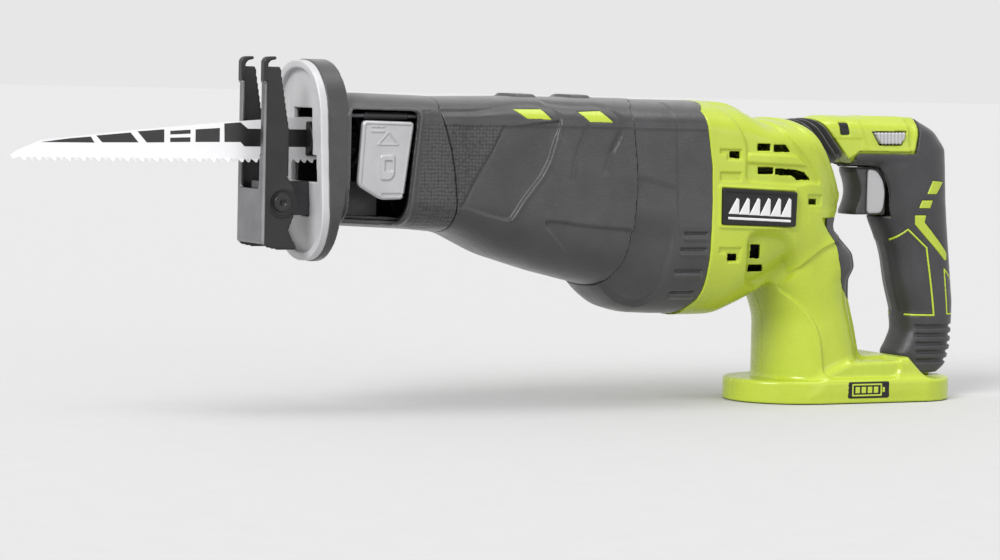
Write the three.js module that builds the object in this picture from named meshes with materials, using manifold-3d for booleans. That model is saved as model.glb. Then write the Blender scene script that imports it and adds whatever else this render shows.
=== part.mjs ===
// Cordless reciprocating saw, in millimetres. X runs from the blade tip (-X) to the rear handle (+X), Z is up,
// and the origin lies under the middle of the battery base. Every piece is a closed solid in its own mesh.
import * as THREE from 'three';
import { mergeVertices } from 'three/addons/utils/BufferGeometryUtils.js';
import Module from 'manifold-3d';

const wasm = await Module();
wasm.setup();

// ---------------------------------------------------------------- driving dimensions
const GAP = 0.3; // between two pieces that touch on the real tool
const SKIN = 3; // rubber boot thickness
const WALL = 2.8; // moulded and cast walls
const SECTION_POINTS = 16; // points round one body section
const HANDLE_POINTS = 14; // points round one handle section

const PLUNGER_Z = 155; // blade, clamp and plunger axis
const MOTOR_Z = 112; // motor shaft axis
const CRANK_X = 36; // crown gear's upright axis
const CRANK_RADIUS = 11.1; // half of the 22 mm stroke
const GEAR_TEETH = 40;
const PINION_TEETH = 8;
const MESH_RADIUS = 30; // where the pinion meets the crown gear
const PINION_RADIUS = MESH_RADIUS * PINION_TEETH / GEAR_TEETH;

const RING = { front: -138, back: -121, low: 85.7, high: 200.1, halfWidth: 34 };
const SHOE_PIVOT = { x: -155.9, z: 119.4 };
const LEVER_HINGE = { y: -28.8, z: 169 };
const HANDLE_PIVOT = { x: 284, z: 25 };
const SEAM_X = -52; // joint between nose boot and body boot
const CASE_SPLIT_Z = 132; // joint between gear case and its cover

// ---------------------------------------------------------------- finishes
const finish = (color, roughness, metalness = 0) => () =>
  new THREE.MeshStandardMaterial({ color, roughness, metalness });
const green = finish(0xb5cc2e, 0.45);
const darkPlastic = finish(0x4b4c4e, 0.6);
const rubber = finish(0x555658, 0.85);
const blackPlastic = finish(0x1c1c1e, 0.5);
const greyPlastic = finish(0xb4b6b8, 0.45);
const aluminium = finish(0xc9cbcd, 0.4, 0.9);
const steel = finish(0xa8abae, 0.3, 1);
const darkSteel = finish(0x3c3d40, 0.45, 0.8);
const brass = finish(0xb99a4c, 0.35, 1);
const bladePaint = finish(0xeeeeee, 0.4, 0.1);
const felt = finish(0x8a8378, 0.95);

// ---------------------------------------------------------------- solid helpers
function toSolid(geometry) {
  geometry.deleteAttribute('normal');
  geometry.deleteAttribute('uv');
  const merged = mergeVertices(geometry, 1e-4);
  const index = merged.index.array;
  const triangles = [];
  for (let i = 0; i < index.length; i += 3) {
    const [a, b, c] = [index[i], index[i + 1], index[i + 2]];
    if (a !== b && b !== c && c !== a) triangles.push(a, b, c);
  }
  return new wasm.Manifold(new wasm.Mesh({
    numProp: 3,
    vertProperties: new Float32Array(merged.attributes.position.array),
    triVerts: new Uint32Array(triangles),
  }));
}

const join = (...solids) => solids.reduce((sum, solid) => sum.add(solid));
const cut = (solid, ...tools) => tools.reduce((left, tool) => left.subtract(tool), solid);

const model = new THREE.Group();
function addPiece(name, solid, material) {
  const { vertProperties, triVerts } = solid.getMesh();
  const geometry = new THREE.BufferGeometry();
  geometry.setAttribute('position', new THREE.BufferAttribute(vertProperties, 3));
  geometry.setIndex(new THREE.BufferAttribute(triVerts, 1));
  geometry.computeVertexNormals();
  const mesh = new THREE.Mesh(geometry, material());
  mesh.name = name;
  model.add(mesh);
}

function box(x0, x1, y0, y1, z0, z1) {
  const geometry = new THREE.BoxGeometry(x1 - x0, y1 - y0, z1 - z0);
  geometry.translate((x0 + x1) / 2, (y0 + y1) / 2, (z0 + z1) / 2);
  return toSolid(geometry);
}

const UNIT = {
  x: new THREE.Vector3(1, 0, 0),
  y: new THREE.Vector3(0, 1, 0),
  z: new THREE.Vector3(0, 0, 1),
};
// Outline axes and extrusion direction of each drawing plane.
const PLANES = {
  xz: new THREE.Matrix4().makeBasis(UNIT.x, UNIT.z, UNIT.y.clone().negate()),
  xy: new THREE.Matrix4().makeBasis(UNIT.x, UNIT.y, UNIT.z),
  yz: new THREE.Matrix4().makeBasis(UNIT.y, UNIT.z, UNIT.x),
};

// An outline, as [u, v] points or a Shape, drawn on a plane and extruded from low to high across it.
function slab(plane, outline, low, high) {
  const shape = Array.isArray(outline)
    ? new THREE.Shape(outline.map(([u, v]) => new THREE.Vector2(u, v)))
    : outline;
  const geometry = new THREE.ExtrudeGeometry(shape, {
    depth: high - low, bevelEnabled: false, curveSegments: 8,
  });
  geometry.translate(0, 0, plane === 'xz' ? -high : low);
  geometry.applyMatrix4(PLANES[plane]);
  return toSolid(geometry);
}

// A round bar along x, y or z; centre gives the two other coordinates in x, y, z order.
function rod(axis, radius, low, high, [u, v], segments = 18) {
  const geometry = new THREE.CylinderGeometry(radius, radius, high - low, segments);
  const middle = (low + high) / 2;
  if (axis === 'x') geometry.rotateZ(Math.PI / 2).translate(middle, u, v);
  if (axis === 'y') geometry.translate(u, middle, v);
  if (axis === 'z') geometry.rotateX(Math.PI / 2).translate(u, v, middle);
  return toSolid(geometry);
}

function pipe(axis, outer, inner, low, high, centre, segments = 18) {
  return cut(rod(axis, outer, low, high, centre, segments),
    rod(axis, inner, low - 1, high + 1, centre, segments));
}

// Value at x on a line through [x, value] points.
function along(points, x) {
  const last = points.length - 1;
  if (x <= points[0][0]) return points[0][1];
  if (x >= points[last][0]) return points[last][1];
  const i = points.findIndex(([px]) => px > x);
  const [[x0, v0], [x1, v1]] = [points[i - 1], points[i]];
  return v0 + (v1 - v0) * (x - x0) / (x1 - x0);
}

// Rounded outline of half-width w: an arch from shoulder to top, straight sides, and a bowl below them.
function section(w, top, shoulder, lower, bottom, power = 2.5, count = SECTION_POINTS) {
  const points = [];
  for (let k = 0; k < count; k++) {
    const angle = 2 * Math.PI * (k + 0.5) / count;
    const [c, s] = [Math.cos(angle), Math.sin(angle)];
    const u = Math.sign(c) * w * Math.abs(c) ** (2 / power);
    const rise = Math.abs(s) ** (2 / power);
    points.push([u, s > 0 ? shoulder + (top - shoulder) * rise : lower - (lower - bottom) * rise]);
  }
  return points;
}

// A closed solid through rings of THREE.Vector3 that all have the same count.
function loft(rings) {
  const count = rings[0].length;
  const centres = [rings[0], rings[rings.length - 1]].map((ring) =>
    ring.reduce((sum, p) => sum.add(p), new THREE.Vector3()).divideScalar(count));
  const vertices = [...rings.flat(), ...centres];
  const firstCentre = rings.length * count;
  const lastRing = (rings.length - 1) * count;
  const triangles = [];
  for (let k = 0; k < count; k++) {
    const next = (k + 1) % count;
    triangles.push([firstCentre, next, k], [firstCentre + 1, lastRing + k, lastRing + next]);
    for (let r = 0; r < rings.length - 1; r++) {
      const [a, b] = [r * count + k, r * count + next];
      triangles.push([a, b, b + count], [a, b + count, a + count]);
    }
  }
  const volume = triangles.reduce((sum, [a, b, c]) =>
    sum + vertices[a].clone().cross(vertices[b]).dot(vertices[c]), 0);
  const faces = volume < 0 ? triangles.map(([a, b, c]) => [a, c, b]) : triangles;
  const geometry = new THREE.BufferGeometry();
  geometry.setAttribute('position', new THREE.Float32BufferAttribute(
    faces.flat().flatMap((i) => vertices[i].toArray()), 3));
  return toSolid(geometry);
}

// Side halves with half a joint gap each: side is -1 for left (-Y) and 1 for right.
function half(solid, side) {
  const near = side * GAP / 2;
  return solid.intersect(box(-400, 400, Math.min(near, side * 100), Math.max(near, side * 100), -50, 300));
}

// ---------------------------------------------------------------- body shapes along X
// Each shape gives its outline in [x, value] points; a body section is drawn between them.
const NOSE = {
  top: [[-122, 181], [-107, 181.6], [-50, 180.3]],
  bottom: [[-122, 106.3], [-74, 104.1], [-50, 102.1]],
  halfWidth: [[-122, 32.5], [-50, 36]],
  shoulder: 166,
  lower: [[-122, 124], [-50, 123]],
};
const BOOT = {
  top: [[-52, 180.3], [-11, 181.4], [75, 181.5]],
  bottom: [[-52, 102.5], [-50, 102.1], [-22, 88.7], [11, 79.1], [42, 71.8], [75, 64.5]],
  halfWidth: [[-52, 36], [0, 38.8], [54, 42], [75, 43.2]],
  shoulder: 165,
  lower: [[-52, 123], [11, 113], [42, 110], [75, 108]],
};
const DRUM = {
  top: [[40, 181.5], [120, 181.4]],
  bottom: [[41, 74], [44, 71], [50, 63.5], [58, 57.4], [70, 54.4], [86, 53.5], [120, 52.8]],
  halfWidth: [[40, 40], [58, 42.5], [75, 43.8], [120, 44.5]],
  shoulder: 164,
  lower: [[40, 108], [60, 106], [120, 105]],
};
const BARREL = {
  top: [[104, 181.4], [131, 180.4], [139, 177.9], [149, 171], [187, 170.3], [204, 147], [210, 138.6]],
  bottom: [[104, 52.8], [127, 53], [141, 58.9], [154, 65.5], [187, 86], [210, 100.6]],
  halfWidth: [[104, 44.5], [150, 44], [176, 41], [187, 38], [198, 31], [206, 24], [210, 19.5]],
  shoulder: [[104, 163], [149, 156], [187, 150], [204, 134], [217, 118]],
  lower: [[104, 105], [154, 112], [217, 114]],
};

const valueAt = (entry, x) => (Array.isArray(entry) ? along(entry, x) : entry);

function bodyRing(shape, x, inset, at = x) {
  return section(
    valueAt(shape.halfWidth, x) - inset,
    valueAt(shape.top, x) - inset,
    Math.min(valueAt(shape.shoulder, x), valueAt(shape.top, x) - inset - 2),
    valueAt(shape.lower, x),
    valueAt(shape.bottom, x) + inset,
  ).map(([y, z]) => new THREE.Vector3(at, y, z));
}

// Solid body between the first and last station, drawn inset from its outer face.
function bodySolid(shape, stations, inset = 0) {
  return loft(stations.map((x) => bodyRing(shape, x, inset)));
}

const NOSE_STATIONS = [-121, -107, -74, SEAM_X];
const BOOT_STATIONS = [SEAM_X, -48, -22, 11, 42, 75];
const DRUM_STATIONS = [41.5, 46, 52, 58, 70, 86, 120];
const BARREL_STATIONS = [104, 131, 139, 149, 176, 187, 198, 204, 210];

// Joint line between boot and drum, and between drum and green housing, both seen from the side.
const BOOT_SEAM = [[68.3, 190], [68.3, 181.5], [61.5, 160], [57.7, 134.4], [56.5, 110], [53.5, 88],
  [49.6, 73.9], [42, 72.1], [34, 60]];
const DRUM_SEAM = [[118.3, 190], [118.1, 181.4], [110.5, 165], [107.1, 144.8], [105.6, 100], [105.3, 40]];

// Everything in front of a joint line, moved back by shift.
function inFrontOf(line, shift = 0) {
  const edge = line.map(([x, z]) => [x + shift, z]);
  return slab('xz', [...edge, [-60, edge.at(-1)[1]], [-60, edge[0][1]]], -60, 60);
}

// ---------------------------------------------------------------- nose
function ringRings(inset, front, back) {
  const middle = (RING.low + RING.high) / 2;
  const outline = section(RING.halfWidth - inset, RING.high - inset, middle + 16, middle - 16,
    RING.low + inset, 2.3);
  return [front, back].map((x) => outline.map(([y, z]) => {
    const lean = x < -130 ? (middle - z) * 0.04 : 0; // the rim leans back towards its lower end
    return new THREE.Vector3(x + lean, y, z);
  }));
}

const LEVER_WINDOW = [[-118.5, 172], [-78.5, 172], [-85, 107.5], [-111, 107.5], [-118.5, 116]];

function leverPin(grow) {
  return rod('x', 1.1 + grow, -121, -75, [LEVER_HINGE.y, LEVER_HINGE.z], 12);
}

function makeNose() {
  const window = slab('xz', LEVER_WINDOW, -60, -20);
  const sleeve = cut(
    join(loft(ringRings(0, -134, RING.back)), bodySolid(NOSE, NOSE_STATIONS)),
    loft(ringRings(SKIN, -140, RING.back - 2.7)),
    bodySolid(NOSE, [-125, ...NOSE_STATIONS.slice(1, -1), SEAM_X + 5], SKIN),
    window,
    leverPin(GAP),
  );
  addPiece('nose_boot', sleeve, rubber);

  const outer = SKIN + GAP;
  const inner = outer + WALL;
  const backWall = loft(ringRings(outer, RING.back - 5.5, RING.back - 2.7 - GAP));
  const tubeEnd = SEAM_X - GAP;
  const casting = join(
    cut(loft(ringRings(outer, RING.front, RING.back - 3)), loft(ringRings(inner, -142, RING.back - 5.6))),
    backWall,
    cut(
      bodySolid(NOSE, [-125, ...NOSE_STATIONS.slice(1, -1), tubeEnd], outer),
      bodySolid(NOSE, [-126, ...NOSE_STATIONS.slice(1, -1), -66], inner),
    ),
  );
  addPiece('nose_casting', cut(casting,
    rod('x', 14, -130, -66, [0, PLUNGER_Z]),
    rod('x', 12 + GAP, -70, -50, [0, PLUNGER_Z]),
    box(-130, -90, -6 - GAP, 6 + GAP, 111.7, 131.3),
    window,
    leverPin(GAP)), aluminium);
}

// ---------------------------------------------------------------- gear case
function makeGearCase() {
  const outer = SKIN + GAP;
  const stations = [SEAM_X + 0.6, -48, -22, 11, 42, 66];
  const inside = [-48, -22, 11, 42, 66.5];
  const frontWallX = -48;
  const rearCut = inFrontOf(BOOT_SEAM, -4);
  const shell = cut(bodySolid(BOOT, stations, outer), bodySolid(BOOT, inside, outer + WALL))
    .intersect(rearCut);
  const bushHole = rod('x', 12 + GAP, -60, frontWallX + 1, [0, PLUNGER_Z]);
  const web = cut(
    bodySolid(BOOT, [-6, 4], outer + 1).intersect(box(-10, 10, -60, 60, CASE_SPLIT_Z + 6, 200)),
    rod('x', 12 + GAP, -20, 20, [0, PLUNGER_Z]),
  );
  const floor = bodySolid(BOOT, [14, 36, 56], outer + 1).intersect(box(20, 52, -60, 60, 60, 90));
  const below = box(-100, 100, -60, 60, 0, CASE_SPLIT_Z - GAP / 2);
  const above = box(-100, 100, -60, 60, CASE_SPLIT_Z + GAP / 2, 250);
  const post = rod('z', 5, 80, MOTOR_Z + PINION_RADIUS + 7.9, [CRANK_X, 0], 16);
  addPiece('gear_case', join(shell.intersect(below), floor, post), aluminium);
  addPiece('gear_case_cover', cut(join(shell.intersect(above), web), bushHole), aluminium);
  addPiece('body_boot', cut(
    bodySolid(BOOT, [SEAM_X + GAP, ...BOOT_STATIONS.slice(1)]),
    bodySolid(BOOT, [SEAM_X - 3, ...BOOT_STATIONS.slice(1), 80], SKIN),
  ).intersect(inFrontOf(BOOT_SEAM)), rubber);
}

// ---------------------------------------------------------------- drive
function makeCrank() {
  const faceZ = MOTOR_Z + PINION_RADIUS; // where the teeth meet
  const disc = join(rod('z', 33.4, faceZ + 1.5, faceZ + 8, [0, 0], 40),
    rod('z', 12, faceZ - 8, faceZ + 8, [0, 0]));
  const teeth = [];
  for (let i = 0; i < GEAR_TEETH; i++) {
    const tooth = slab('xy', [[26.6, -0.6], [33.3, -0.85], [33.3, 0.85], [26.6, 0.6]],
      faceZ - 1.2, faceZ + 1.6);
    teeth.push(tooth.rotate([0, 0, (i + 0.5) * 360 / GEAR_TEETH]));
  }
  const gear = cut(join(disc, ...teeth), rod('z', 9 + GAP, faceZ - 9, faceZ + 9, [0, 0]));
  addPiece('crown_gear', gear.translate([CRANK_X, 0, 0]), steel);
  const top = faceZ + 8 + GAP;
  const centre = [CRANK_X, -CRANK_RADIUS];
  addPiece('crank_pin', join(rod('z', 7, top, top + 3, centre, 16),
    rod('z', 3.5, top, PLUNGER_Z + 8, centre, 16)), steel);
  addPiece('crank_roller', pipe('z', 6, 3.5 + GAP, PLUNGER_Z - 7, PLUNGER_Z + 7, centre, 16), steel);
  addPiece('gear_bearing', pipe('z', 9, 5 + GAP, faceZ - 7.5, faceZ + 7.5, [CRANK_X, 0], 16), steel);
}

function makePlunger() {
  const yokeHalf = { x: 14, y: 23, z: 7.5 };
  const slotHalf = 6 + 2.8; // roller radius and the play that a constant drive ratio needs
  const yoke = cut(
    box(CRANK_X - yokeHalf.x, CRANK_X + yokeHalf.x, -yokeHalf.y, yokeHalf.y,
      PLUNGER_Z - yokeHalf.z, PLUNGER_Z + yokeHalf.z),
    box(CRANK_X - slotHalf, CRANK_X + slotHalf, -18.5, 18.5, PLUNGER_Z - 9, PLUNGER_Z + 9),
  );
  addPiece('yoke', yoke, steel);
  addPiece('plunger_rod', rod('x', 8, -79, CRANK_X - yokeHalf.x - GAP, [0, PLUNGER_Z]), steel);
  addPiece('front_bush', pipe('x', 12, 8 + GAP, -66, -49, [0, PLUNGER_Z]), brass);
  addPiece('rear_bush', pipe('x', 12, 8 + GAP, -7, 6, [0, PLUNGER_Z]), brass);
  addPiece('felt_seal', pipe('x', 11.5, 8 + GAP, -48.4, -42, [0, PLUNGER_Z]), felt);
}

function makeClamp() {
  const tangSlot = box(-122, -83, -0.9, 0.9, PLUNGER_Z - 7.6, PLUNGER_Z + 7.6);
  const pinBore = rod('y', 2 + GAP, -20, 20, [-103, PLUNGER_Z], 16);
  addPiece('clamp_body', cut(rod('x', 9.2, -121, -79 - GAP, [0, PLUNGER_Z]), tangSlot, pinBore), darkSteel);
  addPiece('clamp_collar', pipe('x', 12.3, 9.2 + GAP, -119, -92, [0, PLUNGER_Z]), darkSteel);
  addPiece('clamp_pin', rod('y', 2, -8, 8, [-103, PLUNGER_Z], 16), steel);
}

function makeBlade() {
  const toothPitch = 4.25;
  const toothDepth = 1.9;
  const teethFront = -303;
  const teethLine = 141.4;
  const outline = [[-84, 148.5], [-84, 161.5], [-121.5, 161.5], [-124, 167.2], [-137.7, 167.2], [-179, 164],
    [-290.8, 152.4], [-308.3, 144], [-307, 141.7], [teethFront, teethLine + 0.2]];
  for (let x = teethFront + toothPitch; x < -126; x += toothPitch) {
    outline.push([x - toothPitch * 0.35, teethLine + toothDepth], [x, teethLine]);
  }
  outline.push([-124, teethLine + toothDepth], [-121.5, 148.5]);
  const hole = rod('y', 2 + GAP, -5, 5, [-103, PLUNGER_Z], 16);
  addPiece('blade', cut(slab('xz', outline, -0.62, 0.62), hole), bladePaint);
}

// ---------------------------------------------------------------- shoe
function makeShoe() {
  const halfWidth = 19;
  const gauge = 2;
  const front = -168;
  const side = [[front, 196], [-157.5, 195.2], [-151.8, 150], [-152, 134], [-147.5, 128], [-147.5, 112],
    [-151, 104], [-145, 92.8], [-158, 95.4], [-165, 99.5], [front, 106]];
  const channel = cut(
    slab('xz', side, -halfWidth, halfWidth),
    box(front + gauge, -130, gauge - halfWidth, halfWidth - gauge, 80, 210),
    box(front - 5, front + 5, -13.5, 13.5, 127, 210),
  );
  const hook = [[front, 190], [front, 198.5], [-165.5, 201], [-160.5, 201], [-160.5, 199.4], [-164.6, 199.2],
    [front + gauge, 196.8], [front + gauge, 190]];
  const hooks = [-1, 1].map((s) =>
    slab('xz', hook, Math.min(s * 13.5, s * halfWidth), Math.max(s * 13.5, s * halfWidth)));
  const pinHole = rod('y', 3 + GAP, -30, 30, [SHOE_PIVOT.x, SHOE_PIVOT.z], 16);
  addPiece('shoe', cut(join(channel, ...hooks), pinHole), darkSteel);

  const bar = box(-164, -92, -6, 6, 112, 131);
  addPiece('shoe_bracket', cut(bar, pinHole), darkSteel);
  const rivet = [SHOE_PIVOT.x, SHOE_PIVOT.z];
  addPiece('shoe_rivet', join(
    rod('y', 3, -20, 20, rivet, 16),
    rod('y', 5.4, -20.9, -19.3, rivet, 16),
    rod('y', 5.4, 19.3, 20.9, rivet, 16),
  ), steel);
}

// ---------------------------------------------------------------- blade release
function makeRelease() {
  const plate = [[-113.7, 168.6], [-81.5, 168.6], [-87.4, 122.2], [-101.6, 121.9], [-115.7, 129.6]];
  const barrel = rod('x', 2.2, -111, -85, [LEVER_HINGE.y, LEVER_HINGE.z], 12);
  const nose = box(-107, -91, -29.5, -24, 150, 164); // pushes the release ring's ear
  addPiece('clamp_lever', cut(join(slab('xz', plate, -32.6, -29.4), barrel, nose), leverPin(GAP)), greyPlastic);
  addPiece('lever_pin', leverPin(0), steel);
  const ear = box(-106, -92, -21.5, -15, PLUNGER_Z - 8, PLUNGER_Z - 3);
  addPiece('release_ring', join(pipe('x', 16.5, 13, -107, -91, [0, PLUNGER_Z]), ear), darkSteel);
}

// ---------------------------------------------------------------- motor
function makeMotor() {
  const axis = [0, MOTOR_Z];
  const pinionX = CRANK_X + MESH_RADIUS;
  const root = 4.3;
  const outline = [];
  for (let i = 0; i < PINION_TEETH; i++) {
    const middle = Math.PI / 2 + 2 * Math.PI * i / PINION_TEETH;
    for (const [turn, radius] of [[-0.27, root], [-0.075, 7.1], [0.075, 7.1], [0.27, root]]) {
      outline.push([radius * Math.cos(middle + turn), MOTOR_Z + radius * Math.sin(middle + turn)]);
    }
  }
  addPiece('pinion', cut(slab('yz', outline, pinionX - 3, pinionX + 3),
    rod('x', 2.8, 0, 100, axis, 16)), steel);
  addPiece('motor_shaft', rod('x', 2.5, 62, 176, axis, 16), steel);
  addPiece('front_bearing', pipe('x', 9, 2.5 + GAP, 75, 82, axis, 16), steel);
  addPiece('rear_bearing', pipe('x', 8, 2.5 + GAP, 169, 175, axis, 16), steel);
  const fanBlades = [];
  for (let i = 0; i < 9; i++) {
    const blade = box(97, 105, -0.8, 0.8, 8, 23.5);
    fanBlades.push(blade.rotate([i * 40, 0, 0]).translate([0, 0, MOTOR_Z]));
  }
  addPiece('fan', cut(join(rod('x', 24, 95, 97.5, axis), rod('x', 9, 95, 105, axis), ...fanBlades),
    rod('x', 2.8, 90, 110, axis, 16)), blackPlastic);
  addPiece('armature', pipe('x', 19, 2.8, 118, 150, axis, 24), darkSteel);
  addPiece('commutator', pipe('x', 9, 2.8, 154, 164, axis, 16), brass);
  const can = cut(rod('x', 27, 112, 166, axis, 32), rod('x', 24.8, 114, 170, axis, 32),
    rod('x', 10, 100, 120, axis, 16));
  addPiece('motor_can', can, darkSteel);
  addPiece('end_bell', cut(rod('x', 26.5, 166.5, 176, axis, 32), rod('x', 22, 160, 168.5, axis, 32),
    rod('x', 8 + GAP, 160, 180, axis, 16)), blackPlastic);
}

function makeDrum() {
  const wallIn = WALL + 0.2;
  const shell = cut(bodySolid(DRUM, DRUM_STATIONS), bodySolid(DRUM, [45, 52, 58, 70, 86, 125], wallIn));
  const drum = cut(shell, inFrontOf(BOOT_SEAM, GAP)).intersect(inFrontOf(DRUM_SEAM));
  addPiece('drum', drum, darkPlastic);
  addPiece('motor_bulkhead', cut(bodySolid(DRUM, [73, 86], wallIn + GAP),
    rod('x', 9 + GAP, 60, 100, [0, MOTOR_Z], 16),
    box(78, 90, -30, 30, 130, 172)), blackPlastic);
}

// ---------------------------------------------------------------- green housing
// Column sections by height: front, back and half-width.
const COLUMN = {
  front: [[8, 171], [50, 171], [62, 167], [76, 160], [100, 158], [120, 160]],
  back: [[8, 236], [26, 234], [47, 229.4], [58, 226], [62, 222.5], [96, 212], [108, 206], [120, 203]],
  halfWidth: [[8, 33], [54, 34], [90, 37], [120, 36]],
};
const COLUMN_HEIGHTS = [8, 26, 47, 58, 62, 76, 96, 108, 120];

function columnSolid(inset, heights = COLUMN_HEIGHTS) {
  return loft(heights.map((z) => {
    const [front, back] = [along(COLUMN.front, z) + inset, along(COLUMN.back, z) - inset];
    const outline = section(along(COLUMN.halfWidth, z) - inset, back, back - 14, front + 24, front, 2.2);
    return outline.map(([y, x]) => new THREE.Vector3(x, y, z));
  }));
}

const BASE = { front: 150, back: 299, halfWidth: 38, height: 13.5 };
function baseSolid(inset, low, high) {
  const { front, back, halfWidth } = BASE;
  const outline = section(halfWidth - inset, back - inset, back - 34, front + 46, front + inset, 2.1);
  return slab('xy', outline.map(([y, x]) => [x, y]), low, high);
}

const DECK = [[224, 10], [224, 27], [256, 27], [270.5, 13], [270.5, 10]];
const WELL = { front: 183, back: 211, halfWidth: 18.5, wall: 2.4 };

function wellBlock(grow, low, high) {
  return box(WELL.front - grow, WELL.back + grow, -WELL.halfWidth - grow, WELL.halfWidth + grow, low, high);
}

// The bellows' two end edges seen from the side, each from its top to its bottom as [x, z].
const BELLOWS = {
  housingEdge: [[177, 170.3], [203, 138]],
  handleEdge: [[198, 171.8], [218.5, 147.5]],
  halfWidth: 19.5,
};

// Centre, half-height and lean of the bellows' section at t, from 0 at the housing to 1 at the handle.
function bellowsFrame(t) {
  const [top, bottom] = [0, 1].map((end) => [0, 1].map((axis) =>
    THREE.MathUtils.lerp(BELLOWS.housingEdge[end][axis], BELLOWS.handleEdge[end][axis], t)));
  const [dx, dz] = [top[0] - bottom[0], top[1] - bottom[1]];
  return {
    centre: new THREE.Vector3((top[0] + bottom[0]) / 2, 0, (top[1] + bottom[1]) / 2),
    halfHeight: Math.hypot(dx, dz) / 2,
    lean: Math.atan2(dx, dz),
  };
}

function bellowsRing(t, inset) {
  const { centre, halfHeight, lean } = bellowsFrame(t);
  const outline = section(BELLOWS.halfWidth - inset, halfHeight - inset, 7, -7, inset - halfHeight, 2.4);
  return outline.map(([y, height]) =>
    new THREE.Vector3(0, y, height).applyAxisAngle(UNIT.y, lean).add(centre));
}

// Everything on the handle's side of the bellows' section at t, moved towards the handle by shift.
function beyondBellows(t, shift = 0) {
  const { centre, lean } = bellowsFrame(t);
  const block = new THREE.BoxGeometry(100, 120, 200).translate(50 + shift, 0, 0);
  block.rotateY(lean).translate(centre.x, 0, centre.z);
  return toSolid(block);
}

// Screw places as [x, z, head's outer face, tip] in y.
const HOUSING_SCREWS = [[126, 66, 24, -14], [176, 160, 30, -14], [161, 6.6, 18, -14], [291, 6.6, 18, -14]];
const VENTS = [[138, 148, 153.6], [150, 160, 152], [139, 148, 141.5], [150, 173, 138.5], [114, 122, 147],
  [114, 122, 92], [136, 146, 92], [194, 201, 116]];

function makeHousing() {
  const barrelInside = [107, 131, 139, 149, 176, 187, 198, 206];
  const outer = join(bodySolid(BARREL, BARREL_STATIONS), columnSolid(0), baseSolid(0, 0, BASE.height),
    slab('xz', DECK, -34, 34));
  const inside = join(
    loft(barrelInside.map((x) => bodyRing(BARREL, x, WALL, x === 107 ? 100 : x))),
    columnSolid(WALL, [BASE.height - 3.5, 26, 47, 58, 62, 76, 96, 108, 119]),
  );
  const wireHole = rod('x', 9, 165, 215, [0, 155], 16);
  const hollow = join(cut(inside, beyondBellows(0, -WALL)), wireHole);
  const lug = box(278, 290, -6, 6, BASE.height - 2, 31);
  let shell = cut(outer, hollow, baseSolid(5, -1, BASE.height - 4));
  const floor = baseSolid(5, BASE.height - 3.7, BASE.height - 0.2).intersect(columnSolid(0, [8, 26]));
  shell = join(shell, floor);
  const bosses = HOUSING_SCREWS.map(([x, z]) => rod('y', 5, -60, 60, [x, z], 12));
  shell = join(shell, join(...bosses).intersect(outer), lug);
  shell = cut(shell, wellBlock(WELL.wall + GAP, -1, 60), inFrontOf(DRUM_SEAM, GAP), beyondBellows(0),
    rod('y', 3 + GAP, -50, 50, [HANDLE_PIVOT.x, HANDLE_PIVOT.z], 16));
  for (const [x0, x1, z] of VENTS) {
    for (const side of [-1, 1]) {
      shell = shell.subtract(box(x0, x1, Math.min(side * 25, side * 60), Math.max(side * 25, side * 60),
        z - 1.9, z + 1.9));
    }
  }
  return shell;
}

// A screw along Y whose head sits on the +Y side, with the bores that it needs.
function screwAt(x, z, head, tip) {
  return {
    screw: join(rod('y', 1.6, tip, head, [x, z], 8), rod('y', 3.2, head - 3, head, [x, z], 12)),
    bore: join(rod('y', 1.6 + GAP, tip - 1, head, [x, z], 8),
      rod('y', 3.2 + GAP, head - 3 - GAP, head + 40, [x, z], 12)),
  };
}

function addHalves(name, shell, material, screws, prefix) {
  const fitted = screws.map(([x, z, head, tip]) => screwAt(x, z, head, tip));
  const bored = cut(shell, ...fitted.map((f) => f.bore));
  addPiece(`${name}_left`, half(bored, -1), material);
  addPiece(`${name}_right`, half(bored, 1), material);
  fitted.forEach((f, i) => addPiece(`${prefix}_${i + 1}`, f.screw, steel));
}

function addHousing() {
  const shell = makeHousing();
  addHalves('housing', shell, green, HOUSING_SCREWS, 'housing_screw');
  const pad = cut(slab('xz', [[208, 107], [214, 104], [229.5, 82], [225.4, 73], [225.4, 62], [214, 61.5]], -14, 14),
    columnSolid(-GAP, [47, 58, 62, 76, 96, 108, 120]), bodySolid(BARREL, [187, 198, 204, 210], -GAP));
  addPiece('knuckle_pad', pad, rubber);
  for (const [name, side] of [['label_left', -1], ['label_right', 1]]) {
    const plate = [[113.7, 130.3], [165.5, 127.9], [164.9, 107.2], [114, 108.6]];
    addPiece(name, slab('xz', plate, ...(side < 0 ? [-45.9, -44.9] : [44.9, 45.9])), blackPlastic);
  }
}

function makeBattery() {
  const wellTop = 70;
  addPiece('battery_well', cut(wellBlock(WELL.wall, BASE.height - 3.2, wellTop), wellBlock(0, 0, wellTop - 3),
    box(190, 208, -11, -7, 60, 90), box(190, 208, 7, 11, 60, 90)), blackPlastic);
  for (const [name, side] of [['contact_left', -1], ['contact_right', 1]]) {
    addPiece(name, box(191, 207, side * 9 - 1, side * 9 + 1, 58, 84), brass);
  }
  addPiece('terminal_block', cut(box(184, 208, -15, 15, wellTop + GAP, 88),
    ...[-9, 9].map((y) => box(191 - GAP, 207 + GAP, y - 1 - GAP, y + 1 + GAP, 70, 84.3))), blackPlastic);
}

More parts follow.
